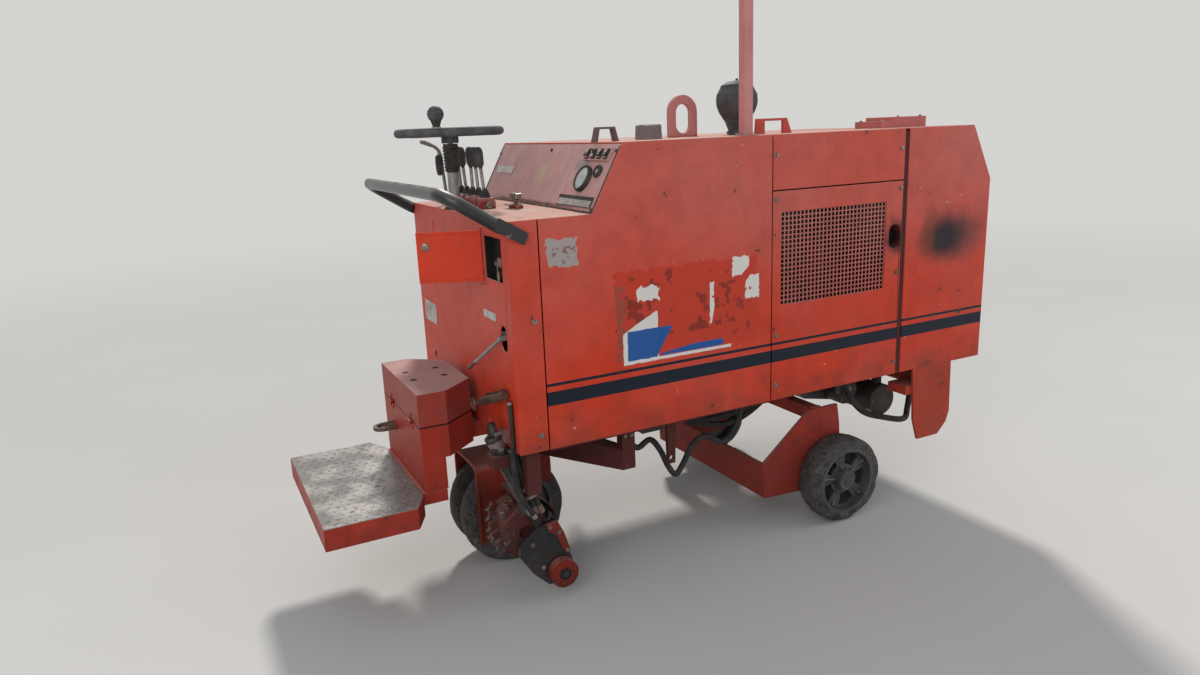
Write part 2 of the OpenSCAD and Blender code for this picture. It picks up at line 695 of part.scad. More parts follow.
// Hydraulic hoses that hang below the body and run down the leg
function drop(x, y) = [[x, y, floor_z - 0.5], [x, y, floor_z - 16], [x, y, floor_z - 34]];
function rise(x, y) = [[x, y, floor_z - 34], [x, y, floor_z - 16], [x, y, floor_z - 0.5]];
module hoses() color(black) place() {
    hose(concat(drop(464, -380), [
        [472, -380, 490], [500, -380, 466], [549, -380, 486], [590, -380, 437], [623, -380, 367],
        [656, -380, 328], [692, -380, 368], [720, -380, 417], [755, -380, 445], [792, -380, 450],
        [827, -380, 430], [864, -380, 412], [912, -380, 440], [944, -380, 500]],
        rise(955, -380)), 11, [0, 1, 0], 3);
    hose(concat(drop(692, -270), [[740, -272, 508], [880, -274, 470], [1060, -272, 482],
        [1180, -270, 520]], rise(1222, -270)), 13, [0, 1, 0]);
    hose(concat(drop(1236, -214), [[1180, -222, 480], [1060, -228, 425], [940, -230, 420],
        [820, -228, 460], [740, -222, 510]], rise(700, -216)), 13, [0, 1, 0]);
    hose(concat(drop(1480, -362), [[1510, -360, 480], [1600, -356, 385], [1720, -352, 335],
        [1850, -345, 300], [1900, -320, 335], [1944, -290, 430]], rise(1962, -270)),
        13, [0, 1, 0], 3);
    for (i = [0 : 2])
        hose([[-4 + 18 * i, -431, floor_z - 0.5], [-4 + 18 * i, -431, 566], [-3 + 18 * i, -431, 548],
              [4 + 19 * i, -431, 500], [22 + 20 * i, -430, 420], [52 + 21 * i, -428, 340]],
             8.5, [0, 1, 0], 3);
    hose([[-8.3, -462, 756], [-8.3, -465, 720], [-8.3, -468, 650], [-9.5, -466, 600],
          [-9, -460, 548], [3, -454, 490], [13, -451, 430], [36, -452, 378], [58, -454, 336]],
         8, [0, 1, 0], 3);
}

// Lever in the oval, and the slanted rusty pipe that ends in a ring, on the rear face
oval_x = -18;
pipe_low = [-46, -310, 724];
module rear_pipes() color(steel) place() {
    translate([oval_x, oval[0], oval[1] + 3]) rotate([0, 90, 0]) cylinder(h = 24 - oval_x, r = 9);
    bar([-11, oval[0], oval[1] + 3], [-60, -236, 822], 6);
    difference() {
        block([sheet, oval[0] - 42, oval[1] - 12], [28, oval[0] + 42, oval[1] + 18]);
        block([sheet - 1, oval[0] - 30, oval[1] - 13], [20, oval[0] + 30, oval[1] + 19]);
    }
    bar([-20, -450, 775], pipe_low, 14.5);
    block([-22, -428, 752], [0, -410, 784]);
    block([-40, -346, 724], [0, -328, 756]);
    bar(pipe_low + [0.9, -4.6, 1.7], pipe_low + [-9, 45, -18], 7);
    translate(pipe_low + [-12, 62, -25]) rotate([0, 90, 0])
        rotate_extrude() translate([18, 0]) circle(r = 5.5);
}

// Hood lid over the engine, opening to the left, with its grab handle
module hood_lid() color(red) place() {
    low = lid_seam_z + seam / 2;
    difference() {
        block([lid_x, -half, low], [lid_end, half, hood_z]);
        block([lid_x - 1, -inner, low - 1], [lid_end + 1, inner, hood_z - sheet]);
    }
    lid_hinge(true);
    difference() {
        side_plate([[1070, hood_z - 2], [1237, hood_z - 2], [1213, hood_z + 55],
                    [1074, hood_z + 55]], -312, 12);
        block([1110, -313, hood_z], [1195, -299, hood_z + 46]);
    }
}

// Small door of the key switch, standing open at the given angle
door_w = 206;
door_open = 117;
module key_door() color(red) place()
    translate([hinge_x, hinge_y, 0]) rotate([0, 0, -door_open]) difference() {
        union() {
            translate([0, 0, door_z[0]]) cylinder(h = door_z[1] - door_z[0], r = 4);
            block([-1.5, -door_w, door_z[0]], [1.5, 0, door_z[1]]);
        }
        translate([0, 0, door_z[0] - 1]) cylinder(h = door_z[1] - door_z[0] + 2, r = 2 + fit);
    }

// Steered fork over the twin rear wheel, with its kingpin and axle
module arch(w, top, r, low) {
    translate([-w, low]) square([2 * w, top - r - low]);
    translate([-w + r, low]) square([2 * (w - r), top - low]);
    for (s = [-1, 1]) translate([s * (w - r), top - r]) circle(r = r);
}
module arch_plate(x0, l, grow, low)
    translate([x0, 0, 0]) rotate([90, 0, 90]) linear_extrude(l) difference() {
        arch(fork_y + fork_t + grow, fork_top + fork_t + grow, fork_r + fork_t + grow, low);
        arch(fork_y, fork_top, fork_r, low - 1);
    }
cheek = [[-145, 340], [-145, 110], [-100, 110], [-58, 158], [0, 136], [58, 158], [92, 300], [92, 340]];
module rear_fork() color(red) place() translate([king_x, 0, 0]) {
    arch_plate(-145, 290, 0, 300);
    arch_plate(-151, 8, 6, 110);
    both() side_plate(cheek, fork_y - fork_t, fork_t);
    translate([0, 0, fork_top + fork_t]) cylinder(h = 7.7, r = 42);
    translate([0, 0, fork_top + fork_t]) cylinder(h = 104, r = king_r);
    across(0, rear_r, -fork_y, 2 * fork_y, 20);
}
module drive_motor() color(black) place() translate([king_x, 0, 0]) both() {
    across(0, rear_r, fork_y, 10, 64);
    across(0, rear_r, fork_y + 10, 36, 47);
    block([-30, fork_y + 14, rear_r + 30], [30, fork_y + 44, rear_r + 62]);
    for (x = [-16, 16])
        translate([x, fork_y + 30, rear_r + 62]) cylinder(h = 14, r = 9);
}

// Twin rear wheel: two solid tyres on two dished rims with one hub
module rear_tyres() color(rubber) place() translate([king_x, 0, rear_r])
    both() rotate([-90, 0, 0]) rotate_extrude($fn = 72) polygon([
        [rear_r - rear_rubber, rear_gap / 2], [rear_r - 7, rear_gap / 2],
        [rear_r, rear_gap / 2 + 7], [rear_r, rear_gap / 2 + rear_tyre_w - 7],
        [rear_r - 7, rear_gap / 2 + rear_tyre_w],
        [rear_r - rear_rubber, rear_gap / 2 + rear_tyre_w]]);
module rear_rims() color(cast) place() translate([king_x, 0, rear_r]) difference() {
    rotate([-90, 0, 0]) union() {
        for (s = [-1, 1]) translate([0, 0, s * (rear_gap + rear_tyre_w) / 2]) {
            rotate_extrude($fn = 72) translate([rear_r - rear_rubber - 12, -rear_tyre_w / 2])
                square([12, rear_tyre_w]);
            translate([0, 0, -6]) cylinder(h = 12, r = rear_r - rear_rubber - 6);
        }
        translate([0, 0, -rear_gap / 2 - rear_tyre_w]) cylinder(h = rear_gap + 2 * rear_tyre_w, r = 42);
    }
    across(0, 0, -200, 400, 20 + fit);
}

// Front wheels: worn solid rubber on a dished rim with kidney-shaped windows
rim_r = front_r - front_rubber;
module front_tyre() place() translate([front_x, -half, front_r]) rotate([-90, 0, 0])
    rotate_extrude($fn = 72) polygon([
        [rim_r, 0], [front_r - 8, 0], [front_r, 8], [front_r, front_w - 8],
        [front_r - 8, front_w], [rim_r, front_w]]);
module front_rim() place() translate([front_x, -half, front_r]) difference() {
    union() {
        rotate([-90, 0, 0]) rotate_extrude($fn = 72) translate([rim_r - 12, 0])
            square([12, front_w]);
        across(0, 0, 30, 14, rim_r - 6);
        across(0, 0, 6, front_w - 12, 40);
        across(0, 0, 6, 14, 43);
    }
    for (k = [0 : windows - 1])
        rotate([-90, 0, 0]) rotate([0, 0, -85 - k * 360 / windows])
            rotate_extrude(angle = 40) translate([62, 28]) square([50, 18]);
    translate([0, 5, 0]) rotate([-90, 0, 0]) rotate_extrude() translate([30, 0]) square([6, 7]);
    across(0, 0, -5, front_w + 10, axle_r + fit);
}
module front_tyre_right() color(rubber) front_tyre();
module front_tyre_left() color(rubber) mirror([0, 1, 0]) front_tyre();
module front_rim_right() color(cast) front_rim();
module front_rim_left() color(cast) mirror([0, 1, 0]) front_rim();

floor_frame();
rear_shell();
instrument_panel();
side_panel_right();
side_panel_left();
hood_top();
grille_panel_right();
grille_panel_left();
grille_screens();
front_cowl();
front_grille();
front_skirts();
engine_block();
radiator_core();
engine_sump();
front_frame();
rear_frame();
seat_box();
tow_eye();
step();
drum_hood();
leg_tube();
hand_rail();
control_levers();
steering_column();
lifting_eye();
mast();
beacon();
pre_cleaner();
hood_fittings();
hoses();
hood_lid();
box_lid();
key_door();
steering_wheel();
rear_fork();
drive_motor();
rear_tyres();
rear_rims();
front_tyre_right();
front_rim_right();
front_tyre_left();
front_rim_left();
milling_drum();
leg_foot();
guide_roller();
rear_pipes();
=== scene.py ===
import math

import bmesh
import bpy
from mathutils import Matrix, Vector, noise


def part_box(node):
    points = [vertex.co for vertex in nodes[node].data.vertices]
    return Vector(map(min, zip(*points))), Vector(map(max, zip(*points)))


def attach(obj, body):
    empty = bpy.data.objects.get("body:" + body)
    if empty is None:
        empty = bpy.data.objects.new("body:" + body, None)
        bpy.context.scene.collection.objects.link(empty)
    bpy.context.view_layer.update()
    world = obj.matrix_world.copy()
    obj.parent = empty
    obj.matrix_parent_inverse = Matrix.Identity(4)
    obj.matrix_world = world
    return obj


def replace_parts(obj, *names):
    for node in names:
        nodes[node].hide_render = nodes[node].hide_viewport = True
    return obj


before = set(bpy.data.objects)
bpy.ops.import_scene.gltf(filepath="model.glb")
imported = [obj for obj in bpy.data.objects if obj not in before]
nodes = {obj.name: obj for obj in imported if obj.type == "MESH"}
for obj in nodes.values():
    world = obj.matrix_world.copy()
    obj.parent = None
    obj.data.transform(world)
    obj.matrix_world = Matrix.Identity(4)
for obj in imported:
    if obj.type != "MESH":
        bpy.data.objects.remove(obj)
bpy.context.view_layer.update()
print("frame loaded:", len(nodes), "nodes")

# The CAD part is drawn from its rear face, so pieces here are placed in the same millimetres
panSetback = 0.005
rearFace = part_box("floor_frame")[0].x - panSetback


def at(x, y, z):
    return Vector((rearFace + x / 1000, y / 1000, z / 1000))


# Node helpers
def feed(tree, socket, value):
    if isinstance(value, bpy.types.NodeSocket):
        tree.links.new(value, socket)
    elif socket.type == "RGBA":
        socket.default_value = (*value, 1.0)[:4]
    else:
        socket.default_value = value


def addNode(tree, kind, inputs=None, **values):
    made = tree.nodes.new(kind)
    for name, value in values.items():
        setattr(made, name, value)
    for key, value in (inputs or {}).items():
        feed(tree, made.inputs[key], value)
    return made


def calc(tree, operation, a, b, clamp=False):
    return addNode(tree, "ShaderNodeMath", {0: a, 1: b}, operation=operation,
                   use_clamp=clamp).outputs[0]


def plus(tree, a, b, clamp=False):
    return calc(tree, "ADD", a, b, clamp)


def minus(tree, a, b):
    return calc(tree, "SUBTRACT", a, b)


def times(tree, a, b, clamp=False):
    return calc(tree, "MULTIPLY", a, b, clamp)


def vectorCalc(tree, operation, a, b=(0, 0, 0)):
    return addNode(tree, "ShaderNodeVectorMath", {0: a, 1: b}, operation=operation).outputs


def position(tree):
    return addNode(tree, "ShaderNodeTexCoord").outputs["Object"]


def heightOf(tree, place):
    return addNode(tree, "ShaderNodeSeparateXYZ", {0: place}).outputs[2]


def ramp(tree, value, low, high, outLow=0.0, outHigh=1.0):
    return addNode(tree, "ShaderNodeMapRange", {
        "Value": value, "From Min": low, "From Max": high, "To Min": outLow, "To Max": outHigh,
    }, interpolation_type="SMOOTHSTEP").outputs["Result"]


def blend(tree, amount, a, b):
    return addNode(tree, "ShaderNodeMix", {0: amount, 6: a, 7: b}, data_type="RGBA").outputs[2]


def pattern(tree, coords, scale, detail=4.0, rough=0.55, stretch=None):
    if stretch:
        coords = addNode(tree, "ShaderNodeMapping", {"Vector": coords, "Scale": stretch}).outputs[0]
    return addNode(tree, "ShaderNodeTexNoise", {
        "Vector": coords, "Scale": scale, "Detail": detail, "Roughness": rough}).outputs[0]


def newGroup(name, inputs, outputs):
    group = bpy.data.node_groups.new(name, "ShaderNodeTree")
    for title, kind, value in inputs:
        socket = group.interface.new_socket(title, in_out="INPUT", socket_type=kind)
        socket.default_value = value
    for title, kind in outputs:
        group.interface.new_socket(title, in_out="OUTPUT", socket_type=kind)
    entry = group.nodes.new("NodeGroupInput")
    leave = group.nodes.new("NodeGroupOutput")
    return group, entry.outputs, leave.inputs


def putOut(tree, sockets, values):
    for name, value in values.items():
        tree.links.new(value, sockets[name])
    return tree


def useGroup(tree, group, inputs):
    return addNode(tree, "ShaderNodeGroup", inputs, node_tree=group).outputs


colour, number, vector = "NodeSocketColor", "NodeSocketFloat", "NodeSocketVector"

# Sun-bleached, dusty and chipped paint, paler on upward faces partly as a painted sunlit glare: scale,
# detail, roughness and stretch of its patterns
weatherGrain = {"broad": (2.6, 3.0), "middle": (13.0, 5.0, 0.6), "fine": (70.0, 4.0, 0.6),
                "runs": (9.0, 4.0, 0.6, (4.0, 4.0, 0.22)), "nicks": (46.0, 2.0, 0.4)}


def makeWeathering():
    tree, inp, out = newGroup("weathering", [
        ("Base", colour, (0.5, 0.1, 0.05, 1)), ("Faded And Sunlit", colour, (0.5, 0.3, 0.3, 1)),
        ("Dirt", colour, (0.2, 0.16, 0.12, 1)), ("Metal", colour, (0.12, 0.08, 0.06, 1)),
        ("Fade", number, 0.5), ("Dust", number, 0.5), ("Chips", number, 0.4),
        ("Streaks", number, 0.3), ("Splash Height", number, 0.6), ("Splash", number, 0.5),
        ("Top Fade", number, 0.0), ("Lying Dust", colour, (0.4, 0.33, 0.26, 1)),
        ("Nicks", number, 0.5),
    ], [("Color", colour), ("Roughness", number), ("Height", number), ("Bare", number)])
    coords = addNode(tree, "ShaderNodeTexCoord").outputs
    place = coords["Object"]
    z = heightOf(tree, place)
    broad, middle, fine, runs, nicks = (pattern(tree, place, *weatherGrain[key]) for key in (
        "broad", "middle", "fine", "runs", "nicks"))
    # Paler on upward faces and towards the top: sun bleaching, and partly a painted sunlit glare
    facing = ramp(tree, heightOf(tree, coords["Normal"]), 0.2, 0.9)
    higher = times(tree, ramp(tree, z, 0.8, 1.5), inp["Top Fade"])
    fadeAndGlare = plus(tree, plus(tree, facing, higher), times(tree, ramp(tree, broad, 0.35, 0.75), 0.3))
    fadeAndGlare = times(tree, inp["Fade"], fadeAndGlare, clamp=True)
    tone = blend(tree, fadeAndGlare, inp["Base"], inp["Faded And Sunlit"])
    tone = blend(tree, times(tree, ramp(tree, middle, 0.3, 0.7), 0.16), tone, (0.02, 0.01, 0.01))
    streak = times(tree, inp["Streaks"], ramp(tree, runs, 0.52, 0.78))
    tone = blend(tree, streak, tone, inp["Dirt"])
    # Splashed from below, and dust that lies on what faces up
    level = minus(tree, inp["Splash Height"], z)
    uneven = times(tree, minus(tree, middle, 0.5), 0.3)
    splash = times(tree, ramp(tree, plus(tree, level, uneven), -0.12, 0.12), inp["Splash"])
    lying = times(tree, times(tree, facing, inp["Dust"]),
                  ramp(tree, plus(tree, middle, broad), 0.55, 1.45))
    tone = blend(tree, times(tree, splash, 0.85), tone, inp["Dirt"])
    tone = blend(tree, times(tree, lying, 0.8), tone, inp["Lying Dust"])
    nick = times(tree, inp["Nicks"], ramp(tree, nicks, 0.765, 0.785))
    tone = blend(tree, nick, tone, (0.5, 0.4, 0.34))
    # Chipped down to the metal
    edge = minus(tree, 1.08, times(tree, inp["Chips"], 0.22))
    bare = ramp(tree, plus(tree, middle, times(tree, fine, 0.55)), edge, plus(tree, edge, 0.02))
    tone = blend(tree, bare, tone, inp["Metal"])
    dirty = calc(tree, "MAXIMUM", splash, lying)
    rough = plus(tree, times(tree, fadeAndGlare, 0.2), times(tree, dirty, 0.35))
    rough = plus(tree, rough, times(tree, fine, 0.12))
    high = minus(tree, times(tree, middle, 0.12), times(tree, bare, 0.3))
    high = plus(tree, high, times(tree, fine, 0.08))
    return putOut(tree, out, {"Color": tone, "Roughness": rough, "Height": high, "Bare": bare})


# A painted band between two heights, broken by small scuffs
def makeBand():
    tree, inp, out = newGroup("paintBand", [
        ("Low", number, 0.7), ("High", number, 0.8), ("Scuffs", number, 0.3),
    ], [("Mask", number)])
    place = position(tree)
    z = heightOf(tree, place)
    within = times(tree, calc(tree, "GREATER_THAN", z, inp["Low"]),
                   calc(tree, "LESS_THAN", z, inp["High"]))
    starts = minus(tree, 0.82, times(tree, inp["Scuffs"], 0.3))
    gone = ramp(tree, pattern(tree, place, 34.0, 5.0, 0.65), starts, 0.84)
    return putOut(tree, out, {"Mask": times(tree, within, minus(tree, 1.0, gone))})


# A soft round patch around a point, such as soot round an outlet
def makePatch():
    tree, inp, out = newGroup("softPatch", [
        ("Centre", vector, (0, 0, 0)), ("Size", vector, (0.1, 0.1, 0.1)), ("Ragged", number, 0.3),
    ], [("Mask", number)])
    place = position(tree)
    away = vectorCalc(tree, "SUBTRACT", place, inp["Centre"])[0]
    away = vectorCalc(tree, "DIVIDE", away, inp["Size"])[0]
    away = vectorCalc(tree, "LENGTH", away)["Value"]
    ragged = times(tree, minus(tree, pattern(tree, place, 16.0, 5.0), 0.5), inp["Ragged"])
    return putOut(tree, out, {"Mask": ramp(tree, plus(tree, away, ragged), 1.0, 0.25)})


# An upright rectangle with torn edges, holes and one slanting cut: the remains of a paper sign
def makeTornSheet():
    tree, inp, out = newGroup("tornSheet", [
        ("Centre", vector, (0, 0, 0)), ("Half Width", number, 0.1), ("Half Height", number, 0.1),
        ("Ragged", number, 0.02), ("Torn Off", number, 0.3), ("Grain", number, 12.0),
        ("Cut", vector, (0, 0, 0)),
    ], [("Mask", number)])
    place = position(tree)
    away = vectorCalc(tree, "SUBTRACT", place, inp["Centre"])[0]
    cut = vectorCalc(tree, "DOT_PRODUCT", away, inp["Cut"])["Value"]
    far = addNode(tree, "ShaderNodeSeparateXYZ", {
        0: vectorCalc(tree, "ABSOLUTE", away)[0]}).outputs
    inside = calc(tree, "MINIMUM", minus(tree, inp["Half Width"], far[0]),
                  minus(tree, inp["Half Height"], far[2]))
    inside = calc(tree, "MINIMUM", inside, times(tree, minus(tree, 1.0, cut), 0.07))
    edge = minus(tree, pattern(tree, place, 38.0, 5.0, 0.65), 0.5)
    inside = plus(tree, inside, times(tree, edge, inp["Ragged"]))
    kept = minus(tree, pattern(tree, place, inp["Grain"], 5.0, 0.6),
                 ramp(tree, inp["Torn Off"], 0.0, 1.0, 0.3, 0.7))
    mask = times(tree, ramp(tree, inside, 0.0, 0.0025), ramp(tree, kept, 0.0, 0.012))
    return putOut(tree, out, {"Mask": mask})


# Rusty bare steel with dark scale
def makeRust():
    tree, inp, out = newGroup("rustyMetal", [
        ("Clean", colour, (0.3, 0.28, 0.26, 1)), ("Rust", colour, (0.16, 0.06, 0.03, 1)),
        ("Grime", colour, (0.03, 0.025, 0.02, 1)), ("Amount", number, 0.5),
        ("Grease", number, 0.3),
    ], [("Color", colour), ("Roughness", number), ("Height", number), ("Shine", number)])
    place = position(tree)
    middle = pattern(tree, place, 18.0, 6.0, 0.62)
    fine = pattern(tree, place, 95.0, 4.0, 0.6)
    starts = minus(tree, 0.72, times(tree, inp["Amount"], 0.5))
    rusty = ramp(tree, middle, starts, plus(tree, starts, 0.16))
    tone = blend(tree, rusty, inp["Clean"], inp["Rust"])
    tone = blend(tree, times(tree, ramp(tree, fine, 0.42, 0.7), 0.45), tone, (0.05, 0.03, 0.02))
    greasy = times(tree, inp["Grease"], ramp(tree, pattern(tree, place, 7.0, 4.0), 0.4, 0.62))
    tone = blend(tree, greasy, tone, inp["Grime"])
    rough = minus(tree, plus(tree, 0.34, times(tree, rusty, 0.42)), times(tree, greasy, 0.2))
    high = plus(tree, times(tree, middle, 0.5), times(tree, fine, 0.3))
    shine = minus(tree, 1.0, calc(tree, "MAXIMUM", rusty, greasy))
    return putOut(tree, out, {"Color": tone, "Roughness": rough, "Height": high, "Shine": shine})


# Old rubber: dusty, cut and grey where it has worn
def makeOldRubber():
    tree, inp, out = newGroup("oldRubber", [
        ("Base", colour, (0.03, 0.03, 0.03, 1)), ("Dust", colour, (0.25, 0.2, 0.15, 1)),
        ("Dusty", number, 0.5), ("Cuts", number, 0.5),
    ], [("Color", colour), ("Roughness", number), ("Height", number)])
    place = position(tree)
    middle = pattern(tree, place, 22.0, 6.0, 0.62)
    fine = pattern(tree, place, 120.0, 4.0, 0.6)
    cells = addNode(tree, "ShaderNodeTexVoronoi", {
        "Vector": place, "Scale": 46.0, "Randomness": 1.0}, feature="DISTANCE_TO_EDGE")
    cracked = times(tree, ramp(tree, cells.outputs["Distance"], 0.07, 0.0),
                    ramp(tree, middle, 0.48, 0.62))
    cracked = times(tree, inp["Cuts"], cracked)
    uneven = plus(tree, times(tree, middle, 0.7), times(tree, fine, 0.3))
    dusty = times(tree, inp["Dusty"], ramp(tree, uneven, 0.38, 0.66))
    tone = blend(tree, dusty, inp["Base"], inp["Dust"])
    tone = blend(tree, cracked, tone, (0.008, 0.008, 0.008))
    rough = plus(tree, 0.62, times(tree, dusty, 0.3))
    high = minus(tree, uneven, times(tree, cracked, 0.9))
    return putOut(tree, out, {"Color": tone, "Roughness": rough, "Height": high})


weathering = makeWeathering()
paintBand = makeBand()
softPatch = makePatch()
tornSheet = makeTornSheet()
rustyMetal = makeRust()
oldRubber = makeOldRubber()
print("node groups made")


# Materials
def newMaterial(name):
    material = bpy.data.materials.new(name)
    material.use_nodes = True
    return material.node_tree


def surface(tree, tone, roughness, metallic=0.0, height=None, bump=0.15, reach=0.002, **more):
    shader = tree.nodes["Principled BSDF"]
    for key, value in {"Base Color": tone, "Roughness": roughness, "Metallic": metallic,
                       **more}.items():
        feed(tree, shader.inputs[key], value)
    if height is not None:
        bumped = addNode(tree, "ShaderNodeBump", {
            "Height": height, "Strength": bump, "Distance": reach})
        tree.links.new(bumped.outputs[0], shader.inputs["Normal"])


sideFace = 506   # from the middle to a side panel's outer face


def paint(name, change, bands=(), patches=(), sheets=()):
    look = {**redLook, **change}
    gloss, shine, bump = (look.pop(key) for key in ("gloss", "shine", "bump"))
    tree = newMaterial(name)
    coat = useGroup(tree, weathering, look)
    tone = coat["Color"]
    for x, z, halfWidth, halfHeight, ragged, torn, grain, cut, tint in sheets:
        mask = useGroup(tree, tornSheet, {
            "Centre": at(x, -sideFace, z), "Half Width": halfWidth, "Half Height": halfHeight,
            "Ragged": ragged, "Torn Off": torn, "Grain": grain, "Cut": cut})["Mask"]
        tone = blend(tree, times(tree, mask, 0.985), tone, tint)
    for low, high, tint in bands:
        mask = useGroup(tree, paintBand, {"Low": low, "High": high, "Scuffs": 0.25})["Mask"]
        tone = blend(tree, times(tree, mask, minus(tree, 1.0, coat["Bare"])), tone, tint)
    for centre, size, ragged, tint, strength in patches:
        mask = useGroup(tree, softPatch, {
            "Centre": at(*centre), "Size": size, "Ragged": ragged})["Mask"]
        tone = blend(tree, times(tree, mask, strength), tone, tint)
    rough = plus(tree, coat["Roughness"], gloss, clamp=True)
    surface(tree, tone, rough, 0.0, coat["Height"], bump, **{"Specular IOR Level": shine})


# Every paint starts from the red of the side panels and says only what differs
redLook = {
    "Base": (0.58, 0.04, 0.012), "Faded And Sunlit": (0.5, 0.145, 0.12), "Dirt": (0.1, 0.045, 0.03),
    "Metal": (0.06, 0.035, 0.026), "Fade": 0.75, "Dust": 0.45, "Chips": 0.34, "Streaks": 0.14,
    "Splash Height": 0.62, "Splash": 0.45, "Top Fade": 0.75, "Nicks": 0.6,
    "gloss": 0.38, "shine": 0.22, "bump": 0.12,
}
paints = {
    "redPaint": {}, "sidePaint": {}, "stripedPaint": {}, "outletPaint": {}, "cowlPaint": {},
    # paler, dustier upward faces: dust and bleaching, and partly a painted sunlit glare on the tops
    "topPaint": {"Fade": 0.85, "Top Fade": 0.45, "Dust": 1.0, "Lying Dust": (0.62, 0.52, 0.42),
                 "Streaks": 0.25, "Nicks": 1.0},
    "panelPaint": {"Base": (0.6, 0.25, 0.235), "Faded And Sunlit": (0.59, 0.33, 0.315), "Fade": 1.0,
                   "Dust": 0.3, "Nicks": 1.0, "Streaks": 0.3},
    "lidPaint": {"Base": (0.3, 0.024, 0.011), "Faded And Sunlit": (0.46, 0.25, 0.23), "Fade": 1.0,
                 "Splash Height": 0.3, "Dust": 0.6, "Lying Dust": (0.45, 0.33, 0.3)},
    "boxPaint": {"Base": (0.36, 0.026, 0.01), "Dirt": (0.05, 0.022, 0.016),
                 "Splash Height": 0.34, "Splash": 0.6, "Chips": 0.5, "Streaks": 0.3},
    "lowPaint": {"Base": (0.36, 0.022, 0.01), "Dirt": (0.04, 0.02, 0.014), "Splash Height": 0.4,
                 "Splash": 0.75, "Chips": 0.55, "Streaks": 0.4, "Fade": 0.3},
    "framePaint": {"Base": (0.42, 0.032, 0.016), "Dirt": (0.05, 0.02, 0.016),
                   "Splash Height": 0.42, "Splash": 0.6, "Chips": 0.5, "Streaks": 0.5,
                   "Fade": 0.3},
    "rollerPaint": {"Base": (0.22, 0.017, 0.01), "Dirt": (0.035, 0.02, 0.016),
                    "Splash Height": 0.1, "Splash": 0.7, "Chips": 0.95, "Streaks": 0.5,
                    "Fade": 0.2},
    "bleachedPaint": {"Base": (0.52, 0.13, 0.11), "Faded And Sunlit": (0.56, 0.25, 0.235), "Fade": 0.9,
                      "Nicks": 1.0},
    "fittingsPaint": {"Base": (0.55, 0.08, 0.05), "Faded And Sunlit": (0.54, 0.2, 0.18), "Fade": 0.85,
                      "Nicks": 1.0},
    # very dark red for the parts under the body: painted shade, with splashed dirt
    "underbodyShadePaint": {"Base": (0.12, 0.012, 0.009), "Dirt": (0.022, 0.014, 0.012),
                     "Splash Height": 0.7, "Splash": 0.6, "Chips": 0.55, "Streaks": 0.5,
                     "Fade": 0.3, "gloss": 0.42, "shine": 0.3, "bump": 0.2},
    "drumPaint": {"Base": (0.11, 0.014, 0.01), "Dirt": (0.03, 0.025, 0.022),
                  "Metal": (0.09, 0.07, 0.06), "Splash Height": 0.34, "Splash": 0.6,
                  "Chips": 0.95, "Fade": 0.2, "gloss": 0.4, "shine": 0.4, "bump": 0.35},
    "blackPaint": {"Base": (0.016, 0.017, 0.02), "Faded And Sunlit": (0.09, 0.09, 0.095),
                   "Dirt": (0.05, 0.04, 0.032), "Metal": (0.22, 0.17, 0.13), "Fade": 0.4,
                   "Top Fade": 0.0, "Dust": 0.4, "Chips": 0.7, "Nicks": 0.5, "Streaks": 0.2,
                   "Splash Height": 0.4, "Splash": 0.3, "gloss": 0.2, "shine": 0.5,
                   "bump": 0.15},
    "screenPaint": {"Base": (0.44, 0.11, 0.09), "Faded And Sunlit": (0.5, 0.2, 0.18), "Chips": 0.5},
    "brightRed": {"Base": (0.64, 0.042, 0.01), "Fade": 0.1, "Chips": 0.2, "Dust": 0.2,
                  "Top Fade": 0.0},
    "valveRed": {"Base": (0.3, 0.018, 0.018), "Faded And Sunlit": (0.45, 0.22, 0.2), "Chips": 0.8,
                 "Fade": 0.5, "Nicks": 1.0, "gloss": 0.3, "shine": 0.5, "bump": 0.2},
}

# Bands run between two heights; patches give centre, size, raggedness, tint and strength
stripeBlack = (0.006, 0.011, 0.022)
seamDirt = (0.018, 0.008, 0.007)
sootBlack = (0.012, 0.011, 0.016)
stripes = [(0.730, 0.776, stripeBlack), (0.794, 0.804, stripeBlack)]
soot = [((1906, -506, 1112), (0.25, 1.0, 0.15), 0.5, (0.1, 0.035, 0.035), 0.75),
        ((1852, -506, 1112), (0.17, 1.0, 0.115), 0.35, sootBlack, 0.97),
        ((1768, -506, 1150), (0.05, 1.0, 0.13), 0.9, (0.2, 0.045, 0.02), 0.6)]
# soot round the exhaust outlet, and black inside it: soot and painted shade
outlet = [((1586, -500, 1136), (0.085, 1.0, 0.1), 0.9, (0.12, 0.02, 0.015), 0.7),
          ((1588, -500, 1138), (0.062, 1.0, 0.078), 0.5, (0.006, 0.006, 0.008), 1.0)]
panelMarks = [((368, -300, 1470), (0.05, 0.06, 0.05), 1.2, (0.2, 0.21, 0.22), 0.6),
              ((350, -2, 1438), (0.05, 0.055, 0.05), 1.3, (0.5, 0.4, 0.24), 0.75),
              ((294, 0, 1334), (0.012, 0.52, 0.014), 0.7, (0.07, 0.03, 0.02), 0.8),
              ((350, 500, 1430), (0.1, 0.016, 0.14), 0.7, (0.09, 0.04, 0.03), 0.8)]
handleAndCap = [((452, -300, 1560), (0.19, 0.12, 0.16), 0.2, (0.1, 0.075, 0.07), 0.92),
                ((651, -250, 1560), (0.2, 0.2, 0.3), 0.15, (0.17, 0.16, 0.155), 0.94)]

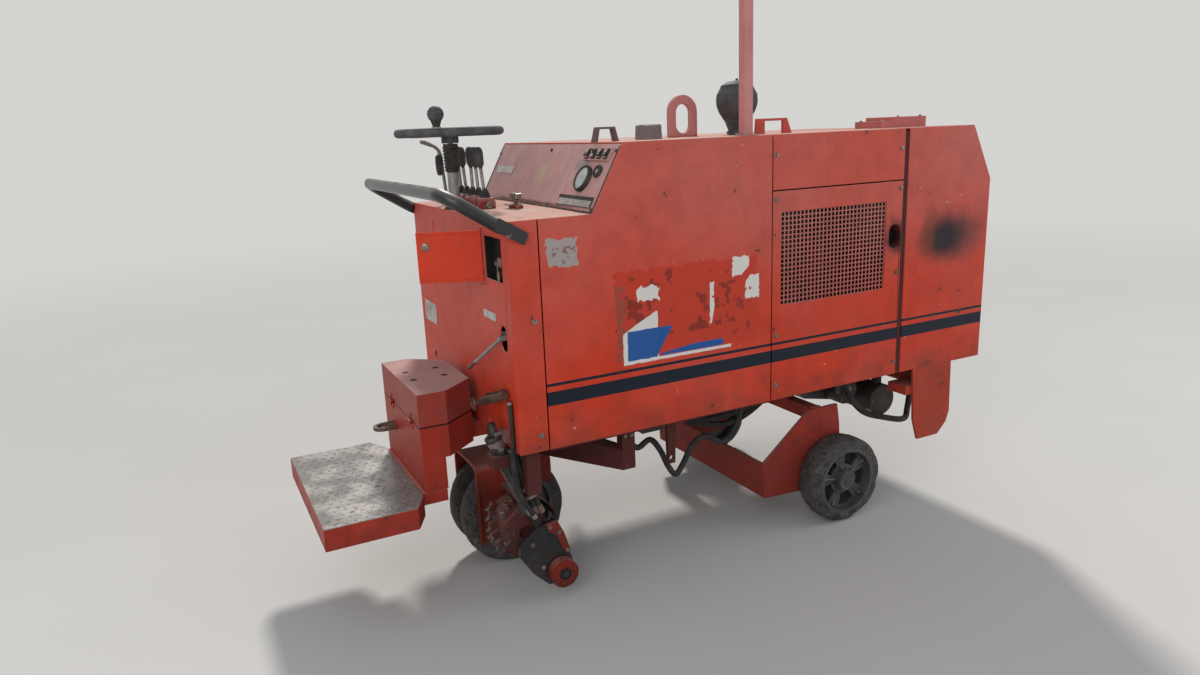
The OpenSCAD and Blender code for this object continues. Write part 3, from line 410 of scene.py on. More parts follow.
# Torn sheets give x, z, half width, half height, raggedness, torn share, grain, cut and tint
overPaint, paper, signBlue = (0.49, 0.042, 0.02), (0.66, 0.64, 0.6), (0.008, 0.085, 0.3)
uncut = (0, 0, 0)
remains = [
    (644, 982, 0.284, 0.152, 0.06, 0.0, 14.0, uncut, overPaint),
    (600, 1010, 0.24, 0.11, 0.04, 0.6, 17.0, uncut, (0.24, 0.026, 0.016)),
    (800, 930, 0.1, 0.07, 0.04, 0.6, 22.0, uncut, (0.27, 0.03, 0.018)),
    (380, 960, 0.02, 0.13, 0.03, 0.4, 30.0, uncut, (0.3, 0.06, 0.04)),
    (451, 904, 0.068, 0.086, 0.012, 0.0, 9.0, (-8.7, 0, 17.9), paper),
    (600, 825, 0.217, 0.0065, 0.004, 0.0, 9.0, (4.2, 0, 12.0), paper),
    (489, 881, 0.09, 0.052, 0.008, 0.12, 9.0, (18.0, 0, -11.6), signBlue),
    (655, 844, 0.128, 0.013, 0.006, 0.1, 9.0, (-11.0, 0, 95.0), signBlue),
    (483, 1052, 0.042, 0.026, 0.05, 0.16, 17.0, (-15.0, 0, 22.0), paper),
    (736, 988, 0.01, 0.072, 0.014, 0.1, 17.0, (75.0, 0, -15.0), paper),
    (908, 1024, 0.03, 0.042, 0.045, 0.16, 15.0, (-20.0, 0, 20.0), paper),
    (858, 1102, 0.036, 0.034, 0.035, 0.16, 17.0, (25.0, 0, -29.0), paper),
    (180, 1216, 0.054, 0.044, 0.05, 0.12, 30.0, (6.0, 0, -12.0), (0.34, 0.3, 0.285)),
    (186, 1208, 0.04, 0.03, 0.03, 0.62, 60.0, uncut, (0.22, 0.12, 0.11)),
]
marks = {
    "sidePaint": {"bands": stripes, "sheets": remains}, "stripedPaint": {"bands": stripes},
    "outletPaint": {"bands": stripes, "patches": outlet},
    "cowlPaint": {"bands": stripes, "patches": soot}, "panelPaint": {"patches": panelMarks},
    "fittingsPaint": {"patches": handleAndCap}, "lidPaint": {"bands": [(0.6455, 0.648, seamDirt)]},
    "boxPaint": {"bands": [(0.6425, 0.6452, seamDirt)]},
}
for name, change in paints.items():
    paint(name, change, **marks.get(name, {}))
print(len(paints), "paints made")

metals = {
    "castIron": {"Clean": (0.05, 0.05, 0.052), "Rust": (0.07, 0.048, 0.038),
                 "Grime": (0.018, 0.016, 0.015), "Amount": 0.6, "Grease": 0.5,
                 "metallic": 0.3, "bump": 0.5},
    "rimIron": {"Clean": (0.08, 0.084, 0.092), "Rust": (0.078, 0.068, 0.064),
                "Grime": (0.03, 0.03, 0.032), "Amount": 0.5, "Grease": 0.5,
                "metallic": 0.25, "bump": 0.4},
    "boltSteel": {"Clean": (0.3, 0.27, 0.24), "Rust": (0.15, 0.085, 0.055),
                  "Grime": (0.05, 0.042, 0.035), "Amount": 0.55, "Grease": 0.4,
                  "metallic": 0.6, "bump": 0.2},
    "rustyPipe": {"Clean": (0.17, 0.13, 0.1), "Rust": (0.12, 0.062, 0.038),
                  "Grime": (0.03, 0.024, 0.02), "Amount": 0.7, "Grease": 0.5,
                  "metallic": 0.4, "bump": 0.5},
    "dustySteel": {"Clean": (0.3, 0.29, 0.27), "Rust": (0.2, 0.16, 0.13),
                   "Grime": (0.07, 0.06, 0.052), "Amount": 0.4, "Grease": 0.35,
                   "metallic": 0.3, "bump": 0.2},
    "darkSteel": {"Clean": (0.1, 0.095, 0.09), "Rust": (0.06, 0.04, 0.03),
                  "Grime": (0.016, 0.014, 0.013), "Amount": 0.4, "Grease": 0.8,
                  "metallic": 0.5, "bump": 0.35},
    "footSteel": {"Clean": (0.05, 0.045, 0.05), "Rust": (0.034, 0.024, 0.023),
                  "Grime": (0.011, 0.01, 0.011), "Amount": 0.4, "Grease": 0.8,
                  "metallic": 0.4, "bump": 0.35},
    "checkerSteel": {"Clean": (0.36, 0.35, 0.33), "Rust": (0.22, 0.18, 0.145),
                     "Grime": (0.12, 0.11, 0.1), "Amount": 0.35, "Grease": 0.6,
                     "metallic": 0.4, "bump": 0.3},
    "paleTin": {"Clean": (0.55, 0.53, 0.48), "Rust": (0.42, 0.36, 0.3),
                "Grime": (0.24, 0.2, 0.17), "Amount": 0.4, "Grease": 0.5,
                "metallic": 0.15, "bump": 0.15},
}
for name, look in metals.items():
    tree = newMaterial(name)
    worn = useGroup(tree, rustyMetal, {
        key: value for key, value in look.items() if key not in ("metallic", "bump")})
    surface(tree, worn["Color"], worn["Roughness"], times(tree, worn["Shine"], look["metallic"]),
            worn["Height"], look["bump"], 0.0015)
print(len(metals), "metals made")

rubbers = {
    "tyreRubber": {"Base": (0.03, 0.028, 0.03), "Dust": (0.155, 0.13, 0.12), "Dusty": 0.7,
                   "Cuts": 0.9, "bump": 0.9, "reach": 0.004},
    "hoseRubber": {"Base": (0.014, 0.014, 0.015), "Dust": (0.11, 0.09, 0.07), "Dusty": 0.35,
                   "Cuts": 0.0, "bump": 0.15, "reach": 0.001},
    "wheelPlastic": {"Base": (0.045, 0.049, 0.056), "Dust": (0.2, 0.2, 0.2), "Dusty": 0.45,
                     "Cuts": 0.1, "bump": 0.1, "reach": 0.001},
    "gripPlastic": {"Base": (0.02, 0.02, 0.021), "Dust": (0.16, 0.14, 0.12), "Dusty": 0.4,
                    "Cuts": 0.1, "bump": 0.1, "reach": 0.001},
    "cleanerPlastic": {"Base": (0.05, 0.052, 0.058), "Dust": (0.17, 0.16, 0.155),
                       "Dusty": 0.45, "Cuts": 0.1, "bump": 0.1, "reach": 0.001},
    # black for holes, hollows and the exhaust outlet's bottom: painted shade, with soot in the outlet
    "paintedShadeBlack": {"Base": (0.006, 0.006, 0.006), "Dust": (0.02, 0.017, 0.014), "Dusty": 0.3,
                  "Cuts": 0.0, "bump": 0.05, "reach": 0.001},
    # painted shade for the recess gaps ahead of the grille panels
    "recessShade": {"Base": (0.045, 0.008, 0.008), "Dust": (0.09, 0.02, 0.016), "Dusty": 0.4,
                   "Cuts": 0.0, "bump": 0.05, "reach": 0.001},
    "dialFace": {"Base": (0.3, 0.31, 0.31), "Dust": (0.42, 0.4, 0.36), "Dusty": 0.6,
                 "Cuts": 0.0, "bump": 0.03, "reach": 0.001},
}
for name, look in rubbers.items():
    tree = newMaterial(name)
    worn = useGroup(tree, oldRubber, {
        key: value for key, value in look.items() if key not in ("bump", "reach")})
    surface(tree, worn["Color"], worn["Roughness"], 0.0, worn["Height"], look["bump"],
            look["reach"], **{"Specular IOR Level": 0.3})
print(len(rubbers), "rubbers and plastics made")

# Two finishes in one node, one above the other
splitMetals = {
    "pipesFinish": {"height": 0.85, "under": {
        "Clean": (0.16, 0.11, 0.08), "Rust": (0.13, 0.06, 0.036), "Grime": (0.025, 0.02, 0.018),
        "Amount": 0.7, "Grease": 0.7}, "over": {
        "Clean": (0.27, 0.26, 0.25), "Rust": (0.2, 0.17, 0.15), "Grime": (0.08, 0.07, 0.062),
        "Amount": 0.4, "Grease": 0.4}},
    "legFinish": {"height": 0.588, "under": {
        "Clean": (0.08, 0.075, 0.075), "Rust": (0.055, 0.037, 0.03),
        "Grime": (0.014, 0.012, 0.012), "Amount": 0.4, "Grease": 0.8}, "over": {
        "Clean": (0.32, 0.26, 0.25), "Rust": (0.2, 0.13, 0.12), "Grime": (0.08, 0.055, 0.05),
        "Amount": 0.45, "Grease": 0.4}},
}
for name, look in splitMetals.items():
    tree = newMaterial(name)
    under, over = (useGroup(tree, rustyMetal, look[key]) for key in ("under", "over"))
    upper = calc(tree, "GREATER_THAN", heightOf(tree, position(tree)), look["height"])
    surface(tree, blend(tree, upper, under["Color"], over["Color"]),
            blend(tree, upper, under["Roughness"], over["Roughness"]), 0.2, under["Height"], 0.4)

# Valve block, bare shafts and dark grips follow one another upwards in one node
leverLook = {
    "blockTop": 1.353, "shaftTop": 1.462, "blockRed": (0.24, 0.016, 0.016),
    "blockWorn": (0.3, 0.15, 0.13),
    "shaft": {"Clean": (0.34, 0.33, 0.31), "Rust": (0.2, 0.15, 0.11),
              "Grime": (0.05, 0.045, 0.04), "Amount": 0.3, "Grease": 0.3},
    "grip": {"Base": (0.02, 0.02, 0.021), "Dust": (0.13, 0.12, 0.11), "Dusty": 0.4, "Cuts": 0.1},
}


def makeLeverFinish():
    tree = newMaterial("leverFinish")
    place = position(tree)
    z = heightOf(tree, place)
    worn = useGroup(tree, rustyMetal, leverLook["shaft"])
    grip = useGroup(tree, oldRubber, leverLook["grip"])
    block = calc(tree, "LESS_THAN", z, leverLook["blockTop"])
    shaft = times(tree, minus(tree, 1.0, block), calc(tree, "LESS_THAN", z, leverLook["shaftTop"]))
    blockTone = blend(tree, ramp(tree, pattern(tree, place, 60.0, 4.0), 0.5, 0.62),
                      leverLook["blockRed"], leverLook["blockWorn"])
    tone = blend(tree, block, blend(tree, shaft, grip["Color"], worn["Color"]), blockTone)
    rough = blend(tree, shaft, grip["Roughness"], worn["Roughness"])
    surface(tree, tone, rough, times(tree, shaft, 0.5), grip["Height"], 0.1, 0.001)


makeLeverFinish()

lenses = {"amberLens": ((0.72, 0.2, 0.015), 0.22), "dialGlass": ((0.5, 0.52, 0.53), 0.12)}
for name, (tint, roughness) in lenses.items():
    tree = newMaterial(name)
    film = ramp(tree, pattern(tree, position(tree), 30.0, 4.0), 0.4, 0.7)
    tone = blend(tree, times(tree, film, 0.35), tint, (0.3, 0.25, 0.2))
    rough = plus(tree, roughness, times(tree, film, 0.25))
    surface(tree, tone, rough, **{"Coat Weight": 0.4})
print("materials made")

finishes = {
    "underbodyShadePaint": ["floor_frame", "rear_frame", "drum_hood"],
    "topPaint": ["rear_shell", "hood_top", "hood_lid"], "panelPaint": ["instrument_panel"],
    "sidePaint": ["side_panel_right"], "stripedPaint": ["side_panel_left", "grille_panel_left"],
    "outletPaint": ["grille_panel_right"], "redPaint": ["grille_screens", "front_skirts"],
    "cowlPaint": ["front_cowl"], "blackPaint": ["front_grille", "radiator_core", "hand_rail"],
    "castIron": ["engine_block", "engine_sump", "drive_motor"], "framePaint": ["front_frame"],
    "boxPaint": ["seat_box", "step"], "rustyPipe": ["tow_eye"], "legFinish": ["leg_tube"],
    "leverFinish": ["control_levers"], "dustySteel": ["steering_column"],
    "bleachedPaint": ["lifting_eye", "mast"], "amberLens": ["beacon"],
    "cleanerPlastic": ["pre_cleaner"], "fittingsPaint": ["hood_fittings"],
    "hoseRubber": ["hoses"], "lidPaint": ["box_lid"], "brightRed": ["key_door"],
    "wheelPlastic": ["steering_wheel"], "lowPaint": ["rear_fork"], "drumPaint": ["milling_drum"],
    "tyreRubber": ["rear_tyres", "front_tyre_right", "front_tyre_left"],
    "rimIron": ["rear_rims", "front_rim_right", "front_rim_left"], "footSteel": ["leg_foot"],
    "rollerPaint": ["guide_roller"], "pipesFinish": ["rear_pipes"],
}
for finish, names in finishes.items():
    for name in names:
        slots = nodes[name].data.materials
        slots.clear()
        slots.append(bpy.data.materials[finish])
print("materials given to", sum(len(names) for names in finishes.values()), "nodes")

# Shapes are drawn in millimetres from the rear face, and each piece rides on its body
def frameOf(origin, right=(1, 0, 0), up=(0, 0, 1)):
    right, up = Vector(right).normalized(), Vector(up).normalized()
    turned = Matrix((right, up, right.cross(up))).transposed().to_4x4()
    return Matrix.Translation(at(*origin)) @ turned @ Matrix.Scale(0.001, 4)


def onSide(x, y, z):
    return frameOf((x, y, z), (-1 if y > 0 else 1, 0, 0))


def onRear(x, y, z):
    return frameOf((x, y, z), (0, -1, 0))


def onTop(x, y, z):
    return frameOf((x, y, z), (0, -1, 0), (1, 0, 0))


machine = frameOf((0, 0, 0), (1, 0, 0), (0, 1, 0))


def addBox(mesh, spot, low, high):
    middle = [(a + b) / 2 for a, b in zip(low, high)]
    size = [b - a for a, b in zip(low, high)]
    matrix = spot @ Matrix.Translation(middle) @ Matrix.Diagonal((*size, 1))
    bmesh.ops.create_cube(mesh, size=1.0, matrix=matrix)


# Profile of (radius, height) pairs turned about the spot's own outward axis
def addLathe(mesh, spot, profile, sides=24):
    rings = []
    for radius, height in profile:
        turns = [math.tau * k / sides for k in range(sides)] if radius > 0.01 else [0.0]
        rings.append([mesh.verts.new(spot @ Vector((
            radius * math.cos(a), radius * math.sin(a), height))) for a in turns])
    for low, high in zip(rings, rings[1:]):
        for k in range(sides):
            n = (k + 1) % sides
            corners = [low[k % len(low)], low[n % len(low)],
                       high[n % len(high)], high[k % len(high)]]
            corners = [c for i, c in enumerate(corners) if c not in corners[:i]]
            if len(corners) > 2:
                mesh.faces.new(corners)
    if profile[0] == profile[-1]:
        bmesh.ops.remove_doubles(mesh, verts=rings[0] + rings[-1], dist=1e-6)
        return
    for ring in (rings[0], rings[-1]):
        if len(ring) > 2:
            mesh.faces.new(ring)


def addDisc(mesh, spot, radius, sides=16):
    addLathe(mesh, spot, [(radius, 0), (0, 0.2)], sides)


def smoothPath(points, steps=5):
    points = [Vector(p) for p in points]
    path = []
    for i in range(len(points) - 1):
        a, b = points[max(i - 1, 0)], points[i]
        c, d = points[i + 1], points[min(i + 2, len(points) - 1)]
        for k in range(steps):
            t = k / steps
            path.append(0.5 * (2 * b + (c - a) * t + (2 * a - 5 * b + 4 * c - d) * t * t
                               + (3 * b - a - 3 * c + d) * t ** 3))
    return path + [points[-1]]


# A round tube along a path, with one radius or one for each point
def addTube(mesh, spot, path, radius, sides=12):
    path = [Vector(p) for p in path]
    ahead = (path[1] - path[0]).normalized()
    side = ahead.orthogonal().normalized()
    rings = []
    for i, point in enumerate(path):
        before, after = path[max(i - 1, 0)], path[min(i + 1, len(path) - 1)]
        turned = (after - before).normalized()
        side = (ahead.rotation_difference(turned) @ side).normalized()
        ahead = turned
        other = ahead.cross(side)
        r = radius[i] if isinstance(radius, list) else radius
        rings.append([mesh.verts.new(spot @ (point + r * (
            math.cos(math.tau * k / sides) * side + math.sin(math.tau * k / sides) * other)))
            for k in range(sides)])
    for low, high in zip(rings, rings[1:]):
        for k in range(sides):
            mesh.faces.new([low[k], low[(k + 1) % sides], high[(k + 1) % sides], high[k]])
    mesh.faces.new(rings[0])
    mesh.faces.new(rings[-1])


def addPlate(mesh, spot, outline, low, high):
    bottom = [mesh.verts.new(spot @ Vector((u, v, low))) for u, v in outline]
    top = [mesh.verts.new(spot @ Vector((u, v, high))) for u, v in outline]
    mesh.faces.new(bottom)
    mesh.faces.new(top)
    for k in range(len(outline)):
        n = (k + 1) % len(outline)
        mesh.faces.new([bottom[k], bottom[n], top[n], top[k]])


# A hexagon head on its washer
def addBolt(mesh, spot, size=8.0, turn=0.3):
    addLathe(mesh, spot, [(size * 1.35, 0), (size * 1.35, 1.6), (size * 1.2, 2.2), (size, 2.2)], 20)
    spun = spot @ Matrix.Rotation(turn, 4, "Z")
    addLathe(mesh, spun, [(size, 2.0), (size, 2.0 + size * 0.62), (size * 0.86, 2.0 + size * 0.78),
                          (0, 2.0 + size * 0.8)], 6)


def addBoltRing(mesh, centre, radius, count, size, start=0.0):
    x, y, z = centre
    for k in range(count):
        a = math.tau * k / count + start
        addBolt(mesh, onSide(x + radius * math.cos(a), y, z + radius * math.sin(a)), size, a)


# A weld bead of small overlapping ripples along a line
def addWeld(mesh, start, end, radius):
    start, end = Vector(start), Vector(end)
    count = max(4, int((end - start).length / (radius * 1.1)))
    path = [start.lerp(end, k / count) for k in range(count + 1)]
    wave = [radius * (0.82 + 0.24 * (k % 2) + 0.1 * noise.noise(p * 0.13))
            for k, p in enumerate(path)]
    addTube(mesh, machine, path, wave, 8)


def placePiece(name, mesh, material, body):
    data = bpy.data.meshes.new(name)
    mesh.to_mesh(data)
    mesh.free()
    data.materials.append(bpy.data.materials[material])
    piece = bpy.data.objects.new(name, data)
    bpy.context.scene.collection.objects.link(piece)
    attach(piece, body)
    return piece


def makePiece(name, mesh, material, body, soft=38.0, bevel=0.0):
    bmesh.ops.recalc_face_normals(mesh, faces=mesh.faces)
    piece = placePiece(name, mesh, material, body)
    for polygon in piece.data.polygons:
        polygon.use_smooth = True
    piece.data.set_sharp_from_angle(angle=math.radians(soft))
    if bevel:
        edge = piece.modifiers.new("edges", "BEVEL")
        edge.width = bevel / 1000
        edge.segments = 2
        edge.angle_limit = math.radians(40)
    return piece


# Panel screws on both sides, and the hand rail's bolts
bolts = {
    "side": [(76, 1011), (75, 638), (1011, 1471), (1013, 1317), (1015, 828), (1013, 642),
             (1601, 1468), (1605, 1319), (1598, 997), (1599, 635)],
    "size": 6.6, "lidAbove": 1400, "rail": [(32, 1296), (51, 1280)], "railFace": 517.4,
}


def makeBolts():
    body, lid = bmesh.new(), bmesh.new()
    for k, (x, z) in enumerate(bolts["side"]):
        mesh = lid if z > bolts["lidAbove"] else body
        addBolt(mesh, onSide(x, -sideFace, z), bolts["size"], 0.4 * k)
        addBolt(mesh, onSide(x, sideFace, z), bolts["size"], 0.3 * k)
    for x, z in bolts["rail"]:
        for y in (-bolts["railFace"], bolts["railFace"]):
            addLathe(body, onSide(x, y, z), [(9.5, 0), (8.5, 0.4), (0, 0.6)], 20)
    makePiece("panelBolts", body, "boltSteel", "chassis")
    makePiece("lidBolts", lid, "boltSteel", "engine_lid")


makeBolts()

# Weld beads: start, end and radius; the paired ones are drawn on both sides
welds = {
    "paired": [((1062, 380, 276), (1068, 380, 142), 4.5), ((1298, 379, 464), (1344, 379, 464), 4),
               ((403, 404, 430), (403, 404, 490), 4)],
    "single": [((1292, -60, 464), (1338, -60, 464), 4), ((1292, 60, 464), (1338, 60, 464), 4),
               ((840, -90, 1541), (960, -90, 1541), 3.2), ((840, -70, 1541), (960, -70, 1541), 3.2),
               ((886, -488, 1541), (924, -488, 1541), 3), ((886, -452, 1541), (924, -452, 1541), 3),
               ((886, -488, 1541), (886, -452, 1541), 3)],
}


def makeWelds():
    beads = bmesh.new()
    for s in (-1, 1):
        for start, end, radius in welds["paired"]:
            mirrored = [(x, s * y, z) for x, y, z in (start, end)]
            addWeld(beads, *mirrored, radius)
    for start, end, radius in welds["single"]:
        addWeld(beads, start, end, radius)
    makePiece("weldBeads", beads, "lowPaint", "chassis")


makeWelds()
print("bolts and welds made")

# Perforated sheets: a square hole in each cell of the window, and a plain edge round it
sieve = {"across": 28, "up": 20, "window": (1035, 939, 500, 334), "hole": 12.8, "thick": 2.0,
         "edge": 14, "face": 501.2}


def makeSieve(name, y):
    mesh = bmesh.new()
    x, z, wide, high = sieve["window"]
    stepU, stepV = wide / sieve["across"], high / sieve["up"]
    spot = onSide(x if y < 0 else x + wide, y, z)
    half = sieve["hole"] / 2
    ring = [(-1, -1), (1, -1), (1, 1), (-1, 1)]

    def loopOf(u, v, a, b, w):
        return [mesh.verts.new(spot @ Vector((u + i * a, v + k * b, w))) for i, k in ring]

    for i in range(sieve["across"]):
        for k in range(sieve["up"]):
            u, v = (i + 0.5) * stepU, (k + 0.5) * stepV
            holes = []
            for w in (0.0, -sieve["thick"]):
                outer = loopOf(u, v, stepU / 2, stepV / 2, w)
                hole = loopOf(u, v, half, half, w)
                holes.append(hole)
                for c in range(4):
                    n = (c + 1) % 4
                    corners = [outer[c], outer[n], hole[n], hole[c]]
                    mesh.faces.new(corners if w == 0 else corners[::-1])
            for c in range(4):
                n = (c + 1) % 4
                mesh.faces.new([holes[0][c], holes[0][n], holes[1][n], holes[1][c]])
    bmesh.ops.remove_doubles(mesh, verts=mesh.verts, dist=0.00005)
    for w in (0.0, -sieve["thick"]):
        outer = loopOf(wide / 2, high / 2, wide / 2 + sieve["edge"], high / 2 + sieve["edge"], w)
        inner = loopOf(wide / 2, high / 2, wide / 2, high / 2, w)
        for c in range(4):
            n = (c + 1) % 4
            mesh.faces.new([outer[c], outer[n], inner[n], inner[c]])
    return placePiece(name, mesh, "screenPaint", "chassis")


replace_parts(makeSieve("perforatedSheetRight", -sieve["face"]), "grille_screens")
makeSieve("perforatedSheetLeft", sieve["face"])
print("perforated sheets made")

# Worn solid tyres, with bites out of the shoulders
tyres = {
    "front": {"radius": 175, "hole": 133, "width": 104, "round": 15, "bite": 9.0, "sides": 52},
    "rear": {"radius": 200, "hole": 154, "width": 64, "round": 10, "bite": 4.0, "sides": 44},
    "frontAxle": (1386, 175), "frontTrack": 454, "rearAxle": (120, 200), "rearTrack": 66,
}


def addTyre(mesh, kind, y, seed):
    look = tyres[kind]
    x, z = tyres[kind + "Axle"]
    half, r, k = look["width"] / 2, look["radius"], look["round"]
    profile = [(look["hole"], -half), (r - k * 1.6, -half), (r - k * 0.45, -half + k * 0.3),
               (r - 1.5, -half + k * 1.1), (r, 0), (r - 1.5, half - k * 1.1),
               (r - k * 0.45, half - k * 0.3), (r - k * 1.6, half), (look["hole"], half)]
    worn = [0, 0.35, 1.0, 0.55, 0, 0.55, 1.0, 0.35, 0]
    rings = []
    for i in range(look["sides"]):
        angle = math.tau * i / look["sides"]
        way = Vector((math.cos(angle), 0, math.sin(angle)))
        ring = []
        for (radius, side), amount in zip(profile, worn):
            bite = noise.noise(Vector((way.x * 2.6 + seed, side * 0.02, way.z * 2.6)))
            small = noise.noise(Vector((way.x * 8 + seed, side * 0.05, way.z * 8)))
            radius -= amount * look["bite"] * max(0.0, bite * 1.5 + small * 0.9 + 0.1)
            inward = amount * look["bite"] * 0.35 * max(0.0, small + 0.2)
            side -= math.copysign(inward, side)
            ring.append(mesh.verts.new(at(x + radius * way.x, y + side, z + radius * way.z)))
        rings.append(ring)
    for low, high in zip(rings, rings[1:] + rings[:1]):
        for k in range(len(profile) - 1):
            mesh.faces.new([low[k], low[k + 1], high[k + 1], high[k]])


def makeTyres():
    for name, s, node, body in (
            ("wornTyreRight", -1, "front_tyre_right", "front_wheel_right"),
            ("wornTyreLeft", 1, "front_tyre_left", "front_wheel_left")):
        mesh, y = bmesh.new(), s * tyres["frontTrack"]
        addTyre(mesh, "front", y, y * 0.01)
        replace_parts(makePiece(name, mesh, "tyreRubber", body, 50), node)
    mesh = bmesh.new()
    addTyre(mesh, "rear", -tyres["rearTrack"], 3.1)
    addTyre(mesh, "rear", tyres["rearTrack"], 7.7)
    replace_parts(makePiece("wornTwinTyres", mesh, "tyreRubber", "rear_wheel", 50),
                "rear_tyres")


makeTyres()
print("tyres made")

# Operator's step: bare checker plate with raised lozenges in two directions
stepPlate = {"rear": -598, "front": -261, "neck": -303, "half": 348, "neckHalf": 260, "top": 418,
             "margin": 2, "slope": 2.1, "pitch": 33.0, "long": 24.0, "wide": 5.2, "high": 1.5}


def makeStepPlate():
    mesh = bmesh.new()
    spot = frameOf((0, 0, stepPlate["top"]), (1, 0, 0), (0, 1, 0))
    rear, neck, front = (stepPlate[key] for key in ("rear", "neck", "front"))
    wide, narrow = stepPlate["half"], stepPlate["neckHalf"]
    addPlate(mesh, spot, [(rear, -wide), (neck, -wide), (front, -narrow), (front, narrow),
                          (neck, wide), (rear, wide)], 0.1, 2.4)
    pitch, half, margin = stepPlate["pitch"], stepPlate["long"] / 2, stepPlate["margin"]
    lozenge = [(-half, 0), (0, -stepPlate["wide"]), (half, 0), (0, stepPlate["wide"])]
    for i in range(int(rear / pitch), int(front / pitch) + 1):
        for k in range(int(-wide / pitch), int(wide / pitch) + 1):
            x, y = (i + 0.5 * (k % 2)) * pitch, k * pitch
            edge = wide - max(0, x + half - neck) * stepPlate["slope"]
            if x - half < rear + margin or x + half > front - margin or abs(y) + half > edge:
                continue
            turn = math.radians(45 if (i + k) % 2 else -45)
            placed = spot @ Matrix.Translation((x, y, 2.4)) @ Matrix.Rotation(turn, 4, "Z")
            low = [mesh.verts.new(placed @ Vector((u, v, -0.2))) for u, v in lozenge]
            top = [mesh.verts.new(placed @ Vector((u * 0.62, v * 0.62, stepPlate["high"])))
                   for u, v in lozenge]
            mesh.faces.new(top)
            for c in range(4):
                mesh.faces.new([low[c], low[(c + 1) % 4], top[(c + 1) % 4], top[c]])
    makePiece("stepCheckerPlate", mesh, "checkerSteel", "chassis", 25)


makeStepPlate()

# Instrument panel: places are (y, distance up the slant), plates (y from, y to, low, high)
panel = {
    "foot": (289, 1326), "tilt": math.atan2(117, 214), "gauge": (-353, 112, 43),
    "dial": (-432, 140, 19), "rockers": [(-456 + 43 * i, 198) for i in range(4)],
    "pressed": [-14, -14, 14, -14], "needle": 152, "screws": [
        (490, 12), (490, 196), (-490, 12), (-492, 214), (150, 10), (-150, 10), (0, 214)],
    "strip": (296, 462, 151, 160), "upperPlate": (283, 469, 114, 143),
    "lowerPlate": (-478, -226, 15, 53), "lowerLabel": (-472, -229, 18, 40),
    "sideSeam": 498,
}


def onPanel(y, s, off=0.0):
    tilt, (x, z) = panel["tilt"], panel["foot"]
    x += s * math.sin(tilt) - off * math.cos(tilt)
    z += s * math.cos(tilt) + off * math.sin(tilt)
    return frameOf((x, y, z), (0, -1, 0), (math.sin(tilt), 0, math.cos(tilt)))


def spunBy(spot, degrees, axis="Z"):
    return spot @ Matrix.Rotation(math.radians(degrees), 4, axis)


def addPanelPlate(mesh, key, low, high):
    left, right, foot, top = panel[key]
    half = (right - left) / 2
    addBox(mesh, onPanel((left + right) / 2, foot), (-half, 0, low), (half, top - foot, high))


def makePanel():
    rim, face, glass, rocker, pale, screws, seam = (bmesh.new() for _ in range(7))
    y, s, r = panel["gauge"]
    spot = onPanel(y, s)
    addLathe(rim, spot, [(r + 1.5, 0), (r + 2.5, 8), (r + 1, 14), (r - 3, 16.5), (r - 6, 14.5),
                         (r - 7.5, 9)], 40)
    addLathe(face, spot, [(r - 6, 8.2), (0, 8.4)], 40)
    for k in range(11):
        addBox(rocker, spunBy(spot, 220 - 26 * k), (r - 15, -1, 8.3), (r - 9, 1, 8.9))
    addBox(rocker, spunBy(spot, panel["needle"]), (-5, -1, 9), (r - 14, 1, 9.8))
    addLathe(glass, spot, [(r - 6, 11.5), (r * 0.5, 13), (0, 13.6)], 40)
    y, s, r = panel["dial"]
    spot = onPanel(y, s)
    addLathe(rim, spot, [(r + 1.5, 0), (r + 2, 8), (r, 11.5), (r - 4, 12), (r - 5, 9.2)], 32)
    addLathe(face, spot, [(r - 4, 9.1), (0, 9.3)], 32)
    for (y, s), pressed in zip(panel["rockers"], panel["pressed"]):
        spot = onPanel(y, s, 10)
        addBox(rocker, spot, (-13, -18, 0), (13, 18, 2.5))
        tilted = spunBy(spot, pressed, "X")
        addBox(rocker, tilted, (-9.5, -14, 1), (9.5, 14, 10.5))
        addBox(pale, spunBy(tilted, 34), (-1.6, -11.5, 10.4), (1.6, 11.5, 11.0))
    addPanelPlate(rocker, "strip", 0, 1.2)
    addPanelPlate(pale, "upperPlate", 0.1, 2.4)
    addPanelPlate(rocker, "lowerPlate", 0.1, 3.6)
    addPanelPlate(pale, "lowerLabel", 3, 4.4)
    for k, (y, s) in enumerate(panel["screws"]):
        addBolt(screws, onPanel(y, s), 5.0, 0.7 * k)
    addBox(seam, onPanel(0, 1), (-500, 0, -0.5), (500, 5, 1.6))
    for y in (-panel["sideSeam"], panel["sideSeam"]):
        addBox(seam, onPanel(y, 3), (-3, 0, -0.5), (3, 228, 1.6))
    makePiece("gaugeRims", rim, "gripPlastic", "chassis")
    makePiece("gaugeFaces", face, "dialFace", "chassis")
    makePiece("gaugeGlass", glass, "dialGlass", "chassis")
    makePiece("rockerSwitches", rocker, "gripPlastic", "chassis", bevel=0.8)
    makePiece("blankPlates", pale, "paleTin", "chassis", bevel=0.4)
    makePiece("panelScrews", screws, "rustyPipe", "chassis")
    makePiece("panelSeals", seam, "rustyPipe", "chassis")


makePanel()
print("instrument panel made")

# Console: valve block, lever boots and collars, latch, holes and the bent lever
console = {
    "levers": [-12 + 64 * i for i in range(6)], "block": 120, "plate": 1326, "shaft": 1338,
    "boot": 1364, "ends": (-46, 351), "latch": (184, -132), "latchPin": (14, 32),
    "holes": [(189, 33, 8), (75, -430, 9), (62, 408, 8), (232, 300, 7), (236, -330, 8)],
}
bentLever = {
    "rod": [(84, 322, 1350), (76, 318, 1440), (70, 314, 1508), (52, 312, 1538), (13, 310, 1556)],
    "grip": [(40, 311, 1545), (13, 310, 1557), (-6, 309, 1562)],
    "gripRadii": [6.2, 7, 7.6, 8, 8.4, 8.6, 8.6, 8, 5],
    "link": [(60, 310, 1508), (61, 312, 1522), (70, 314, 1528)], "spareGrip": (60, 310, 1434),
}


